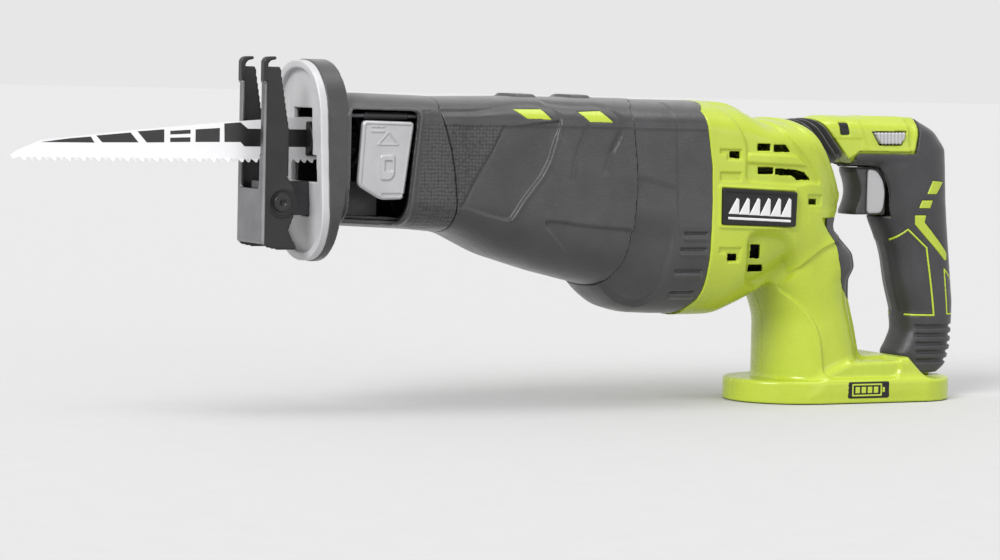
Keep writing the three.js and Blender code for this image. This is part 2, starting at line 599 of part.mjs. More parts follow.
// ---------------------------------------------------------------- handle
const GRIP = {
  front: [[15.2, 270], [27.5, 260], [31, 263.5], [41, 268.5], [53, 267], [70, 261.6], [87.5, 258], [100, 253.5],
    [110, 248.5], [122, 246], [142, 240], [154, 232], [173, 232]],
  back: [[15.2, 294], [20, 301.5], [31, 304.6], [59, 304.8], [97, 301], [122, 298.4], [154, 296.8],
    [165, 288.4], [173, 273.5]],
  halfWidth: [[15.2, 15], [27.5, 16], [59, 17], [100, 16.5], [122, 17.5], [154, 18.2], [165, 16], [173, 9]],
};
const GRIP_HEIGHTS = [15.2, 20, 27.5, 41, 59, 87.5, 110, 154, 165, 173];
const NECK = {
  top: [[180, 170], [199, 171.5], [205, 173.6], [275, 172.9]],
  bottom: [[180, 140], [214, 141], [228, 142.3], [275, 142]],
  halfWidth: [[180, 18], [275, 18.2]],
  shoulder: 163,
  lower: 150,
};

function gripSolid(inset) {
  const last = GRIP_HEIGHTS.length - 1;
  return loft(GRIP_HEIGHTS.map((z, i) => {
    const [front, back] = [along(GRIP.front, z) + inset, along(GRIP.back, z) - inset];
    const depth = back - front;
    const outline = section(along(GRIP.halfWidth, z) - inset, back, back - depth * 0.45, front + depth * 0.35,
      front, 2.4, HANDLE_POINTS);
    const level = i === 0 ? z + inset : i === last ? z - inset : z;
    return outline.map(([y, x]) => new THREE.Vector3(x, y, level));
  }));
}

function handleSolid(inset) {
  const neck = bodySolid(NECK, [190, 205, 214, 228, 262 - inset], inset);
  return join(gripSolid(inset), neck.intersect(beyondBellows(1, inset)));
}

const CAP_ZONE = [[180, 190], [273.9, 190], [273.4, 172.9], [267, 151.7], [227, 151.7], [214, 142], [208, 130],
  [180, 130]];
const TRIGGER_POCKET = [[224, 142.8], [259, 142.8], [259, 112.4], [224, 112.4]];
const LOCK_OUTLINE = [[235.4, 163.9], [260.9, 164.2], [259, 156.2], [240.7, 156]];
const HANDLE_SCREWS = [[222, 158, 15, -10], [290, 92, 12, -10], [282, 50, 12, -10]];

function grown(outline, amount) {
  const middle = outline.reduce(([u, v], [x, z]) => [u + x / outline.length, v + z / outline.length], [0, 0]);
  return outline.map(([x, z]) => [x + Math.sign(x - middle[0]) * amount, z + Math.sign(z - middle[1]) * amount]);
}

function makeHandle() {
  const overlay = 2.2;
  const outer = handleSolid(0);
  const capZone = slab('xz', CAP_ZONE, -40, 40);
  const footSpace = join(
    slab('xz', [[225, 5], [225, 28.3], [256.6, 28.3], [272, 14.7], [320, 14.7], [320, 5]], -40, 40),
    box(275.5, 292.5, -8, 8, 10, 33),
  );
  const pocket = join(slab('xz', TRIGGER_POCKET, -11.6, 11.6),
    slab('xz', grown(LOCK_OUTLINE, GAP), -40, 40));
  const core = join(handleSolid(overlay), outer.intersect(capZone));
  const pivotBoss = rod('y', 7, -14, 14, [HANDLE_PIVOT.x, HANDLE_PIVOT.z], 16);
  const bosses = join(...HANDLE_SCREWS.map(([x, z]) => rod('y', 4.6, -40, 40, [x, z], 12)), pivotBoss);
  const shell = cut(
    join(cut(core, handleSolid(overlay + WALL)), bosses.intersect(handleSolid(overlay + 0.5))),
    pocket, footSpace, box(275.5, 292.5, -8, 8, 10, 36),
    rod('y', 3 + GAP, -12, 12, [HANDLE_PIVOT.x, HANDLE_PIVOT.z], 16),
  );
  addHalves('handle', shell, green, HANDLE_SCREWS, 'handle_screw');
  const skin = cut(outer, handleSolid(overlay - GAP), slab('xz', grown(CAP_ZONE, GAP), -40, 40), pocket,
    footSpace);
  addPiece('grip_overmould', skin, rubber);
  addPiece('handle_pin', rod('y', 3, -11.5, 11.5, [HANDLE_PIVOT.x, HANDLE_PIVOT.z], 16), steel);
}

function makeControls() {
  const blade = new THREE.Shape();
  blade.moveTo(251, 113);
  blade.lineTo(251, 142);
  blade.lineTo(228.5, 142);
  blade.lineTo(227.1, 139.5);
  blade.quadraticCurveTo(234.5, 126, 229.2, 113.8);
  blade.lineTo(230.5, 113);
  addPiece('trigger', slab('xz', blade, -11, 11), darkPlastic);
  addPiece('lock_off_button', slab('xz', LOCK_OUTLINE, -19.6, 19.6), greyPlastic);
  addPiece('switch_module', box(263, 284, -9.5, 9.5, 110, 144), blackPlastic);
  addPiece('trigger_spring', pipe('x', 3.5, 2.4, 251.5, 262.6, [0, 134], 16), steel);
}

function makeBellows() {
  const ribs = 3;
  const outside = [];
  for (let i = 0; i <= 2 * ribs; i++) {
    outside.push(bellowsRing(0.03 + 0.94 * i / (2 * ribs), i % 2 ? 0 : 2));
  }
  addPiece('bellows', cut(loft(outside), loft([-0.1, 1.1].map((t) => bellowsRing(t, 4.2)))), rubber);
}

makeNose();
makeGearCase();
makeCrank();
makePlunger();
makeClamp();
makeBlade();
makeShoe();
makeRelease();
makeMotor();
makeDrum();
addHousing();
makeBattery();
makeHandle();
makeControls();
makeBellows();

export default model;
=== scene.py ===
import math

import bmesh
import bpy
import numpy as np
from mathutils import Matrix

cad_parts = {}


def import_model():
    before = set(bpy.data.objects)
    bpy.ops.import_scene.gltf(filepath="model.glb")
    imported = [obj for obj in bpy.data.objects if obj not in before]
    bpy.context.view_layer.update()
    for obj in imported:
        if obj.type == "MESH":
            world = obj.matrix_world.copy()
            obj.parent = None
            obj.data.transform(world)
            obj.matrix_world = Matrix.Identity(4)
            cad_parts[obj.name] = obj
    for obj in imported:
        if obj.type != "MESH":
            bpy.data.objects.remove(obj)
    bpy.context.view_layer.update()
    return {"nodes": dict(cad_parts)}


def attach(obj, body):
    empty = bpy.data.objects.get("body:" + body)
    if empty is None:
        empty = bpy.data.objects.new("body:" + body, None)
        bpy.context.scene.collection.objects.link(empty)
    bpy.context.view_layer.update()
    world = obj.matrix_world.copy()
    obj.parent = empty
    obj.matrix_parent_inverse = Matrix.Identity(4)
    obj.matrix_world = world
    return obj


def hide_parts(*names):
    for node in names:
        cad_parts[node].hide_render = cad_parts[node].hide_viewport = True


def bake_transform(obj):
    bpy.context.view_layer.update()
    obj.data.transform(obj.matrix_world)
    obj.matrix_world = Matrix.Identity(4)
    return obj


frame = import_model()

import openvdb
from mathutils import Matrix, Vector

# A cordless reciprocating saw, drawn around its CAD frame. X runs from the blade tip to the rear handle, Z is
# up, and the saw's left side faces -Y. Sizes are in millimetres until add_mesh() turns them into metres.
MM = 0.001
COARSE = 1.0  # surface cell of the hidden pieces
FINE = 0.7  # surface cell of the shaped outside pieces
SKIN = 3.0  # thickness of the rubber boots
WALL = 2.8  # thickness of the plastic and cast walls
PLUNGER_Z = 155.0
HANDLE_PIVOT = (284.0, 25.0)
LEVER_HINGE = (-28.8, 169.0)
SHOE_PIVOT = (-155.9, 119.4)


def show(piece):
    bpy.context.scene.collection.objects.link(piece)
    return piece


# --- camera, light and floor
def add_camera():
    azimuth, elevation, roll = (math.radians(angle) for angle in (27, 3.5, 1.3))
    target = Vector((-0.0087, 0, 0.074))
    distance = 1.946
    ahead = math.cos(elevation)
    forward = Vector((math.sin(azimuth) * ahead, math.cos(azimuth) * ahead, -math.sin(elevation)))
    right = Vector((math.cos(azimuth), -math.sin(azimuth), 0))
    turn = Matrix.Rotation(roll, 3, -forward)
    right = turn @ right
    up = right.cross(forward)
    data = bpy.data.cameras.new("camera")
    data.lens = 120
    data.sensor_width = 36
    camera = bpy.data.objects.new("camera", data)
    axes = Matrix((right, up, -forward)).transposed()
    camera.matrix_world = Matrix.Translation(target - distance * forward) @ axes.to_4x4()
    bpy.context.scene.camera = show(camera)


def add_sun(name, place, spread, strength):
    """A distant soft light that shines from place towards the origin."""
    data = bpy.data.lights.new(name, "SUN")
    data.angle = math.radians(spread)
    data.energy = strength
    light = bpy.data.objects.new(name, data)
    light.rotation_euler = (-Vector(place)).to_track_quat("-Z", "Y").to_euler()
    show(light)


def add_studio():
    scene = bpy.context.scene
    scene.view_settings.view_transform = "Standard"
    world = bpy.data.worlds.new("studio")
    world.use_nodes = True
    world.node_tree.nodes["Background"].inputs["Color"].default_value = (1, 1, 1, 1)
    world.node_tree.nodes["Background"].inputs["Strength"].default_value = 0.8
    scene.world = world
    add_sun("key", (-1, -0.62, 0.75), 28, 2.7)
    add_sun("overhead", (0.2, -0.15, 1), 40, 1.2)
    add_sun("fill", (0.4, -1, 0.1), 35, 0.5)
    bpy.ops.mesh.primitive_plane_add(size=60, location=(0, 0, -0.0005))
    floor = bpy.context.object
    floor.name = "floor"
    floor.data.materials.append(moulded("floor_paper", (0.49, 0.49, 0.49), 0.9, 60, 0.0, 0.01))


# --- materials
def link_pairs(tree, *sockets):
    """Links the first socket to the second, the third to the fourth, and so on."""
    for source, target in zip(sockets[::2], sockets[1::2]):
        tree.links.new(source, target)


def shader_nodes(name):
    material = bpy.data.materials.new(name)
    material.use_nodes = True
    tree = material.node_tree
    place = tree.nodes.new("ShaderNodeTexCoord").outputs["Object"]
    return material, tree, tree.nodes["Principled BSDF"], place


def noise(tree, place, scale, detail=3.0):
    node = tree.nodes.new("ShaderNodeTexNoise")
    node.inputs["Scale"].default_value = scale
    node.inputs["Detail"].default_value = detail
    tree.links.new(place, node.inputs["Vector"])
    return node.outputs["Fac"]


def ranged(tree, source, low, high, start=0.3, end=0.7):
    node = tree.nodes.new("ShaderNodeMapRange")
    for key, value in (("From Min", start), ("From Max", end), ("To Min", low), ("To Max", high)):
        node.inputs[key].default_value = value
    tree.links.new(source, node.inputs["Value"])
    return node.outputs["Result"]


def blend_colours(tree, amount, first, second):
    """Colour that goes from first to second; each is an RGB triple or a socket."""
    node = tree.nodes.new("ShaderNodeMix")
    node.data_type = "RGBA"
    tree.links.new(amount, node.inputs["Factor"])
    for socket, colour in ((node.inputs[6], first), (node.inputs[7], second)):
        if isinstance(colour, tuple):
            socket.default_value = (*colour, 1)
        else:
            tree.links.new(colour, socket)
    return node.outputs[2]


def bumped(tree, height, depth, normal=None):
    node = tree.nodes.new("ShaderNodeBump")
    node.inputs["Strength"].default_value = 1.0
    node.inputs["Distance"].default_value = depth * MM
    tree.links.new(height, node.inputs["Height"])
    if normal:
        tree.links.new(normal, node.inputs["Normal"])
    return node.outputs["Normal"]


def scaled(colour, factor):
    return tuple(min(1.0, c * factor) for c in colour)


def moulded(name, colour, roughness, grain=900, depth=0.02, vary=0.08, metallic=0.0, edge_wear_and_highlight=1.25, pebble=0.0,
            specular=0.5, sheen=0.0):
    """Moulded or cast surface: mottled colour, fine grain, uneven gloss and lighter edges, partly wear and
    partly painted highlight on ridges.
    """
    material, tree, shader, place = shader_nodes(name)
    mottle = ranged(tree, noise(tree, place, 45), 0, 1)
    tint = blend_colours(tree, mottle, scaled(colour, 1 - vary), scaled(colour, 1 + vary))
    # Edges and ridges are painted lighter: partly wear, partly painted highlight.
    edge = ranged(tree, tree.nodes.new("ShaderNodeNewGeometry").outputs["Pointiness"], 0, 1, 0.53, 0.62)
    tint = blend_colours(tree, edge, tint, scaled(colour, edge_wear_and_highlight))
    link_pairs(tree, ranged(tree, noise(tree, place, 160), roughness - 0.06, roughness + 0.06),
               shader.inputs["Roughness"])
    normal = bumped(tree, noise(tree, place, grain, 2.0), depth)
    if pebble:
        cells = tree.nodes.new("ShaderNodeTexVoronoi")
        cells.inputs["Scale"].default_value = 480
        cells.inputs["Randomness"].default_value = 0.35
        tree.links.new(place, cells.inputs["Vector"])
        normal = bumped(tree, cells.outputs["Distance"], -pebble, normal)
        # The grooves between the pebble cells are painted darker: painted shade.
        gaps = ranged(tree, cells.outputs["Distance"], 0, 1, 0.35, 0.75)
        tint = blend_colours(tree, gaps, tint, scaled(colour, 0.3))
    link_pairs(tree, tint, shader.inputs["Base Color"], normal, shader.inputs["Normal"])
    for key, value in (("Metallic", metallic), ("Specular IOR Level", specular), ("Sheen Weight", sheen),
                       ("Sheen Roughness", 0.4)):
        shader.inputs[key].default_value = value
    return material


def machined(name, colour, roughness, stretch=(1, 40, 40), vary=0.12):
    """Turned, ground or drawn metal with fine tool marks that run along the stretched axis."""
    material, tree, shader, place = shader_nodes(name)
    mapping = tree.nodes.new("ShaderNodeMapping")
    mapping.inputs["Scale"].default_value = stretch
    tree.links.new(place, mapping.inputs["Vector"])
    marks = noise(tree, mapping.outputs["Vector"], 60, 6.0)
    smudge = ranged(tree, noise(tree, place, 30), 0, 1)
    link_pairs(tree, blend_colours(tree, smudge, scaled(colour, 1 - vary), colour),
               shader.inputs["Base Color"])
    link_pairs(tree, ranged(tree, marks, roughness - 0.08, roughness + 0.1), shader.inputs["Roughness"])
    link_pairs(tree, bumped(tree, marks, 0.015), shader.inputs["Normal"])
    shader.inputs["Metallic"].default_value = 1.0
    return material


def make_materials():
    dark, grey = (0.032, 0.032, 0.034), (0.36, 0.36, 0.37)
    return {
        "lime": moulded("lime_plastic", (0.38, 0.465, 0.034), 0.27, 1400, 0.012, 0.04),
        "rubber": moulded("boot_rubber", dark, 0.42, 700, 0.16, 0.2, edge_wear_and_highlight=2.4, sheen=0.35),
        "pebble": moulded("pebbled_rubber", (0.042, 0.042, 0.044), 0.42, 1500, 0.03, 0.1, edge_wear_and_highlight=1.6,
                          pebble=0.35, sheen=0.2),
        "grip": moulded("grip_rubber", (0.026, 0.026, 0.029), 0.48, 700, 0.16, 0.2, edge_wear_and_highlight=1.8, sheen=0.2),
        "dark": moulded("dark_plastic", dark, 0.38, 800, 0.12, 0.2, edge_wear_and_highlight=2.2, sheen=0.3),
        "black": moulded("black_plastic", (0.008, 0.008, 0.009), 0.4, 1200, 0.02, 0.15, specular=0.3),
        "grey": moulded("grey_plastic", grey, 0.35, 1200, 0.012, 0.05, edge_wear_and_highlight=1.2),
        "lever": moulded("lever_metal", grey, 0.33, 900, 0.03, 0.06, metallic=0.35),
        "cast": moulded("cast_aluminium", (0.46, 0.46, 0.47), 0.42, 500, 0.06, 0.07, metallic=0.1),
        "oxide": moulded("dark_steel", (0.012, 0.012, 0.013), 0.36, 700, 0.02, 0.2, edge_wear_and_highlight=5.0, specular=0.35),
        # Bright steel of the shoe's front: partly wear, partly painted light on its lit front face.
        "worn_and_painted_light": machined("worn_and_painted_light_steel", (0.3, 0.3, 0.31), 0.4, (1, 60, 2), vary=0.4),
        "steel": machined("machined_steel", (0.6, 0.6, 0.62), 0.28),
        "bronze": machined("sintered_bronze", (0.42, 0.27, 0.12), 0.5, (8, 8, 8)),
        "brass": machined("contact_brass", (0.7, 0.5, 0.18), 0.3),
        "paint": moulded("blade_paint", (0.6, 0.6, 0.61), 0.35, 400, 0.01, 0.03),
        "ink": moulded("blade_ink", (0.01, 0.01, 0.01), 0.4, 500, 0.01, 0.2),
        "felt": moulded("felt", (0.3, 0.27, 0.23), 0.95, 1200, 0.2, 0.15),
    }


# --- distance fields, in millimetres
def profile(points, spread=3.0):
    """Smooth [place, value] profile as a lookup table, its corners rounded over spread."""
    places, values = np.array(points, float).T
    first = (values[1] - values[0]) / (places[1] - places[0])
    last = (values[-1] - values[-2]) / (places[-1] - places[-2])
    table = np.arange(places[0] - 30, places[-1] + 30, 0.5)
    raw = np.interp(table, places, values)
    raw += np.minimum(table - places[0], 0) * first + np.maximum(table - places[-1], 0) * last
    offsets = np.arange(-4 * spread, 4 * spread + 0.5, 0.5)
    kernel = np.exp(-0.5 * (offsets / spread) ** 2)
    pad = len(kernel) // 2
    return table, np.convolve(np.pad(raw, pad, "edge"), kernel / kernel.sum(), "valid")


def at(entry, place):
    return np.interp(place, *entry) if isinstance(entry, tuple) else entry


def rounded(across, up, half, top, shoulder, lower, bottom, power=2.5):
    """Distance to an outline: an arch above shoulder, straight sides at half, and a bowl below lower."""
    rise = np.where(up > shoulder, up - shoulder, np.minimum(up - lower, 0))
    reach = np.where(up > shoulder, top - shoulder, lower - bottom)
    share = ((np.abs(across) / half) ** power + (np.abs(rise) / reach) ** power) ** (1 / power)
    distance = np.hypot(across, rise) * (1 - 1 / np.maximum(share, 1e-3))
    return np.where(share > 1e-3, distance, -half)


def body(shape, x, y, z):
    top = at(shape["top"], x)
    return rounded(y, z, at(shape["half"], x), top, np.minimum(at(shape["shoulder"], x), top - 2),
                   at(shape["lower"], x), at(shape["bottom"], x))


def region(outline, u, v, reach=8.0):
    """Signed distance to a closed outline in a plane, negative inside and at most reach."""
    points = np.array(outline, float)
    low, high = points.min(0) - reach, points.max(0) + reach
    near = (u > low[0]) & (u < high[0]) & (v > low[1]) & (v < high[1])
    pu, pv = u[near], v[near]
    best = np.full(pu.shape, reach ** 2)
    inside = np.zeros(pu.shape, bool)
    for (au, av), (bu, bv) in zip(points, np.roll(points, -1, 0)):
        du, dv = bu - au, bv - av
        t = np.clip(((pu - au) * du + (pv - av) * dv) / max(du * du + dv * dv, 1e-9), 0, 1)
        best = np.minimum(best, (pu - au - t * du) ** 2 + (pv - av - t * dv) ** 2)
        if abs(dv) > 1e-9:
            inside ^= ((av > pv) != (bv > pv)) & (pu < au + (pv - av) * du / dv)
    distance = np.full(u.shape, reach)
    distance[near] = np.sqrt(best) * np.where(inside, -1, 1)
    return distance


def trail(points, u, v, reach=8.0):
    """Distance to an open line in a plane, and no more than reach."""
    best = np.full(u.shape, reach ** 2)
    for (au, av), (bu, bv) in zip(points[:-1], points[1:]):
        du, dv = bu - au, bv - av
        t = np.clip(((u - au) * du + (v - av) * dv) / (du * du + dv * dv), 0, 1)
        best = np.minimum(best, (u - au - t * du) ** 2 + (v - av - t * dv) ** 2)
    return np.sqrt(best)


def soft(outline, radius, closed=True):
    """Outline with each corner replaced by a short curve that starts radius away from it."""
    points = np.array(outline, float)
    ends = []
    for neighbour in (np.roll(points, 1, 0), np.roll(points, -1, 0)):
        length = np.maximum(np.linalg.norm(neighbour - points, axis=1, keepdims=True), 1e-6)
        ends.append(points + (neighbour - points) * np.minimum(radius / length, 0.48))
    curve = np.stack([ends[0] * (1 - t) ** 2 + 2 * points * t * (1 - t) + ends[1] * t ** 2
                      for t in (0, 0.25, 0.5, 0.75, 1)], 1)
    if closed:
        return curve.reshape(-1, 2)
    return np.concatenate([points[:1], curve[1:-1].reshape(-1, 2), points[-1:]])


def ease(t):
    t = np.clip(t, 0, 1)
    return t * t * (3 - 2 * t)


def step(distance, width):
    """1 inside a region and 0 outside it, with a smooth bevel of that width on its edge."""
    return ease(0.5 - distance / width)


def groove(distance, width):
    """1 on a line and 0 away from it."""
    return np.exp(-(distance / width) ** 2)


def press(outline, corner, bevel, u, v):
    """1 inside an outline with rounded corners, 0 outside it."""
    return step(region(soft(outline, corner), u, v), bevel)


def outward(y, start, width):
    """0 near the middle plane, 1 on both flanks."""
    return ease((np.abs(y) - start) / width)


def join_soft(a, b, blend):
    """Union of two fields with a fillet."""
    mix = np.clip(0.5 + 0.5 * (b - a) / blend, 0, 1)
    return b * (1 - mix) + a * mix - blend * mix * (1 - mix)


def cut_soft(a, tool, blend):
    return -join_soft(-a, tool, blend)


def common(*fields):
    return np.maximum.reduce(fields)


def either(*fields):
    return np.minimum.reduce(fields)


def rect(left, right, first, second):
    """Outline of a rectangle whose corners run along its first height and back along its second."""
    return [[left, first], [right, first], [right, second], [left, second]]


def round_edge(flat, side, corner):
    """Where two faces meet in an edge of radius corner; both distances are already moved in by it."""
    outside = np.hypot(np.maximum(flat, 0), np.maximum(side, 0))
    return outside + np.minimum(np.maximum(flat, side), 0) - corner


def block(x, y, z, low, high, corner=0.5):
    """A box with rounded edges, between two corners."""
    gaps = [np.abs(p - (a + b) / 2) - (b - a) / 2 + corner for p, a, b in zip((x, y, z), low, high)]
    outside = np.sqrt(sum(np.maximum(g, 0) ** 2 for g in gaps))
    return outside + np.minimum(np.maximum.reduce(gaps), 0) - corner


def prism(outline, u, v, w, low, high, corner=0.0):
    """An outline in the plane u, v, pulled out along w, with its edges rounded."""
    side = np.abs(w - (low + high) / 2) - (high - low) / 2 + corner
    return round_edge(region(outline, u, v) + corner, side, corner)


def off_axis(centre, u, v):
    """Distance from an axis that stands on the plane u, v."""
    return np.hypot(u - centre[0], v - centre[1])


def bar(u, v, w, centre, radius, low, high, corner=0.4):
    """A round bar along w."""
    side = np.abs(w - (low + high) / 2) - (high - low) / 2 + corner
    return round_edge(off_axis(centre, u, v) - radius + corner, side, corner)


def before(line, x, z):
    """Distance behind a joint line seen from the side; its [x, z] points run from the top down."""
    places, heights = np.array(line, float).T
    order = np.argsort(heights)
    edge = np.interp(z, heights[order], places[order])
    above, below = (np.interp(z + gap, heights[order], places[order]) for gap in (1, -1))
    slope = (above - below) / 2
    return (x - edge) / np.sqrt(1 + slope ** 2)


# --- meshes from fields
def surface(field, low, high, cell):
    """Points and quads of a field's zero surface in a box, each point moved onto the surface itself."""
    side = 4
    low = np.array(low, float) - 2 * cell
    blocks = np.ceil((np.array(high, float) + 2 * cell - low) / (side * cell)).astype(int)
    centres = np.indices(blocks).reshape(3, -1).T * side * cell + low + (side - 1) / 2 * cell
    rough = field(*centres.T)
    values = rough.reshape(blocks)
    for axis in range(3):
        values = np.repeat(values, side, axis)
    active = np.argwhere(np.abs(rough.reshape(blocks)) < side * cell * 1.9)
    offsets = np.indices((side, side, side)).reshape(3, -1).T
    index = (active[:, None] * side + offsets[None]).reshape(-1, 3)
    values[tuple(index.T)] = field(*(index * cell + low).T)
    grid = openvdb.FloatGrid()
    grid.background = 100.0
    grid.copyFromArray(values.astype(np.float32))
    points, _, quads = grid.convertToPolygons(0.0, 0.0)
    points = points.astype(float) * cell + low
    nudge = 0.15
    for _ in range(3):
        value = field(*points.T)
        slope = np.stack([field(*(points + nudge * axis).T) - value for axis in np.eye(3)], 1) / nudge
        move = -value[:, None] * slope / np.maximum((slope ** 2).sum(1), 0.05)[:, None]
        length = np.linalg.norm(move, axis=1)[:, None]
        points = points + move * np.minimum(1, 0.5 * cell / np.maximum(length, 1e-9))
    return points, quads


def add_mesh(name, points, faces, smooth=True):
    """A mesh object from points in millimetres and an array of faces with the same number of corners."""
    points, faces = np.asarray(points, float), np.asarray(faces, np.int32)
    a, b, c = (points[faces[:, i]] for i in (0, 1, 2))
    if np.einsum("ij,ij->", np.cross(b - a, c - a), a - points.mean(0)) < 0:
        faces = faces[:, ::-1]
    mesh = bpy.data.meshes.new(name)
    mesh.vertices.add(len(points))
    mesh.vertices.foreach_set("co", (points * MM).ravel())
    mesh.loops.add(faces.size)
    mesh.loops.foreach_set("vertex_index", faces.ravel())
    mesh.polygons.add(len(faces))
    mesh.polygons.foreach_set("loop_start", np.arange(0, faces.size, faces.shape[1]))
    mesh.polygons.foreach_set("use_smooth", np.full(len(faces), smooth))
    mesh.update(calc_edges=True)
    mesh.validate()
    return show(bpy.data.objects.new(name, mesh))


SLOTS = {"lime": "lime_plastic", "rubber": "boot_rubber", "grip": "grip_rubber", "dark": "dark_plastic",
         "black": "black_plastic", "grey": "grey_plastic", "lever": "lever_metal", "cast": "cast_aluminium",
         "oxide": "dark_steel", "worn_and_painted_light": "dark_steel", "steel": "machined_steel", "paint": "blade_paint",
         "ink": "black_plastic"}


def paint(piece, material):
    piece.data.materials.clear()
    piece.data.materials.append(MATERIALS[material])


def fit(piece, material, body_name, *nodes, slot=None):
    """Gives a piece its material, the body that it rides on and the CAD nodes it replaces."""
    paint(piece, material)
    slot or SLOTS[material]
    if body_name:
        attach(piece, body_name)
    if nodes:
        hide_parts(*nodes)
    return piece


def sculpt(name, field, low, high, cell, material, body_name, *nodes, slot=None):
    return fit(add_mesh(name, *surface(field, low, high, cell)), material, body_name, *nodes, slot=slot)


def sculpt_halves(prefix, field, low, high, owner):
    """The left and right shells of a casing; the box's y values are the middle plane and its half-width."""
    for name, side in (("left", -1), ("right", 1)):
        near, far = sorted((0, side * high[1]))
        sculpt(f"{prefix}_{name}", field(side), (low[0], near, low[2]), (high[0], far, high[2]), FINE,
               "lime", owner, f"{owner}_{name}")


def patch(piece, material, outline):
    """Gives the part of a piece that lies in an [x, z] outline a second material."""
    piece.data.materials.append(MATERIALS[material])
    count = len(piece.data.polygons)
    centres = np.empty(count * 3)
    piece.data.polygons.foreach_get("center", centres)
    x, _, z = centres.reshape(-1, 3).T / MM
    piece.data.polygons.foreach_set("material_index", (region(outline, x, z) < 0).astype(np.int32))


# --- shapes of the body
NOSE = {
    "top": profile([[-122, 181], [-107, 181.6], [-50, 180.3]]),
    "bottom": profile([[-122, 106.3], [-74, 104.1], [-50, 102.1]]),
    "half": profile([[-122, 32.5], [-50, 36]]),
    "shoulder": 166,
    "lower": 123.5,
}
BOOT = {
    "top": profile([[-60, 180.3], [-11, 181.4], [75, 181.5]]),
    "bottom": profile([[-60, 103.2], [-48, 101.5], [-22, 88.7], [11, 79.1], [42, 71.8], [75, 64.5]], 4),
    "half": profile([[-60, 35.7], [0, 38.8], [54, 42], [75, 43.2]]),
    "shoulder": 165,
    "lower": profile([[-52, 123], [11, 113], [42, 110], [75, 108]], 6),
}
DRUM = {
    "top": profile([[40, 181.5], [120, 181.4]]),
    "bottom": profile([[34, 79], [44, 70.5], [50, 63.5], [58, 57.4], [70, 54.2], [86, 53.4], [120, 52.8]], 2),
    "half": profile([[40, 40], [58, 42.5], [75, 43.8], [120, 44.5]]),
    "shoulder": 164,
    "lower": profile([[40, 108], [60, 106], [120, 105]]),
}
BARREL = {
    "top": profile([[104, 181.4], [131, 180.6], [139, 177.6], [149, 171.2], [185, 170.3], [204, 147],
                    [214, 133], [217, 127]], 2),
    "bottom": profile([[104, 52.8], [127, 53], [141, 58.9], [154, 65.5], [187, 86], [217, 105]]),
    "half": profile([[104, 44.5], [150, 44], [176, 41], [187, 38], [198, 31], [206, 24], [210, 19.5]], 3),
    "shoulder": profile([[104, 163], [149, 156], [187, 150], [204, 134], [217, 118]], 4),
    "lower": profile([[104, 105], [154, 112], [217, 114]], 4),
}
SCREWS = {  # x and z of the axis, then y of the counterbore, the head and the tip
    "housing": [(126, 66, 22.5, 24, -14), (176, 160, 28, 30, -14), (161, 6.6, 16.5, 18, -14),
                (291, 6.6, 16.5, 18, -14)],
    "handle": [(222, 158, 11.5, 15, -10), (290, 92, 8.5, 12, -10), (282, 50, 8.5, 12, -10)],
}
NOSE_SEAM = [[-62, 190], [-62, 181], [-64.5, 178.5], [-66.4, 172.5], [-62.4, 161.7], [-58.9, 149.6],
             [-56.3, 135.5], [-54.8, 117.2], [-55.2, 109.9], [-54.4, 100]]
BOOT_SEAM = [[69, 190], [69, 181.8], [61, 179.5], [54.5, 175], [55.1, 165.5], [57.8, 142.7], [58.2, 130.3],
             [57.7, 117.8], [55.4, 99], [52.8, 88.5], [48, 75.6], [44.9, 71.8], [38, 66], [34, 60]]
DRUM_SEAM = [[118, 190], [118, 182], [108, 179.5], [101.8, 175], [103.3, 166], [106.9, 143.2], [107.6, 124.3],
             [107.5, 88.5], [107, 70], [106, 64], [102, 57.6], [98, 50]]
RING = {"low": 85.7, "high": 200.1, "half": 34.0}
SLEEVE_BACK = profile([[85, -127.5], [112, -126.5], [140, -122], [170, -122.4], [200, -124.5]], 6)
LEVER_WINDOW = soft([[-121.5, 172.5], [-78.5, 172], [-85, 107.5], [-121.5, 107.5]], 4)


def bosses_at(owner, radius, x, z):
    """Distance to the screw bosses of the housing or the handle, as endless bars across the tool."""
    return either(*(off_axis(row, x, z) - radius for row in SCREWS[owner]))


def counterbores(owner, radius, outside, x, y, z):
    return either(*(bar(x, z, y, row[:2], radius, row[2], outside) for row in SCREWS[owner]))


def ring(x, y, z, inset):
    """The oval cup round the blade; its rim leans back towards its lower end."""
    middle = (RING["low"] + RING["high"]) / 2
    return rounded(y, z, RING["half"] - inset, RING["high"] - inset, middle + 24, middle - 24,
                   RING["low"] + inset, 2.2)


def lean(x, z):
    return x - (143 - z) * 0.04


# --- nose
def lever_window(x, y, z):
    """The near-side hole in the nose that the release lever lies in."""
    return common(region(LEVER_WINDOW, x, z), y + 20)


def nose_boot_field(x, y, z):
    back = at(SLEEVE_BACK, z)
    sleeve = common(ring(x, y, z, 0), x - back, -134 - lean(x, z))
    tube = common(body(NOSE, x, y, z), -131 - x)
    outer = join_soft(sleeve, tube, 4)
    rim = step(np.abs(region(LEVER_WINDOW, x, z)) - 1.6, 1.2) * outward(y, 20, 3) * (y < 0)
    rear_step = step(np.abs(region([[-76, 172], [-72, 172], [-78, 107], [-82, 107]], x, z)) - 0.1, 1.5)
    outer = outer - 0.9 * rim + 0.5 * rear_step * outward(y, 20, 3)
    inside = body(NOSE, x, y, z) + SKIN
    hollow = either(common(ring(x, y, z, SKIN), x - back + 2.6), common(inside, -133 - x))
    return common(outer, -hollow, -lever_window(x, y, z), before(NOSE_SEAM, x, z) + 0.35)


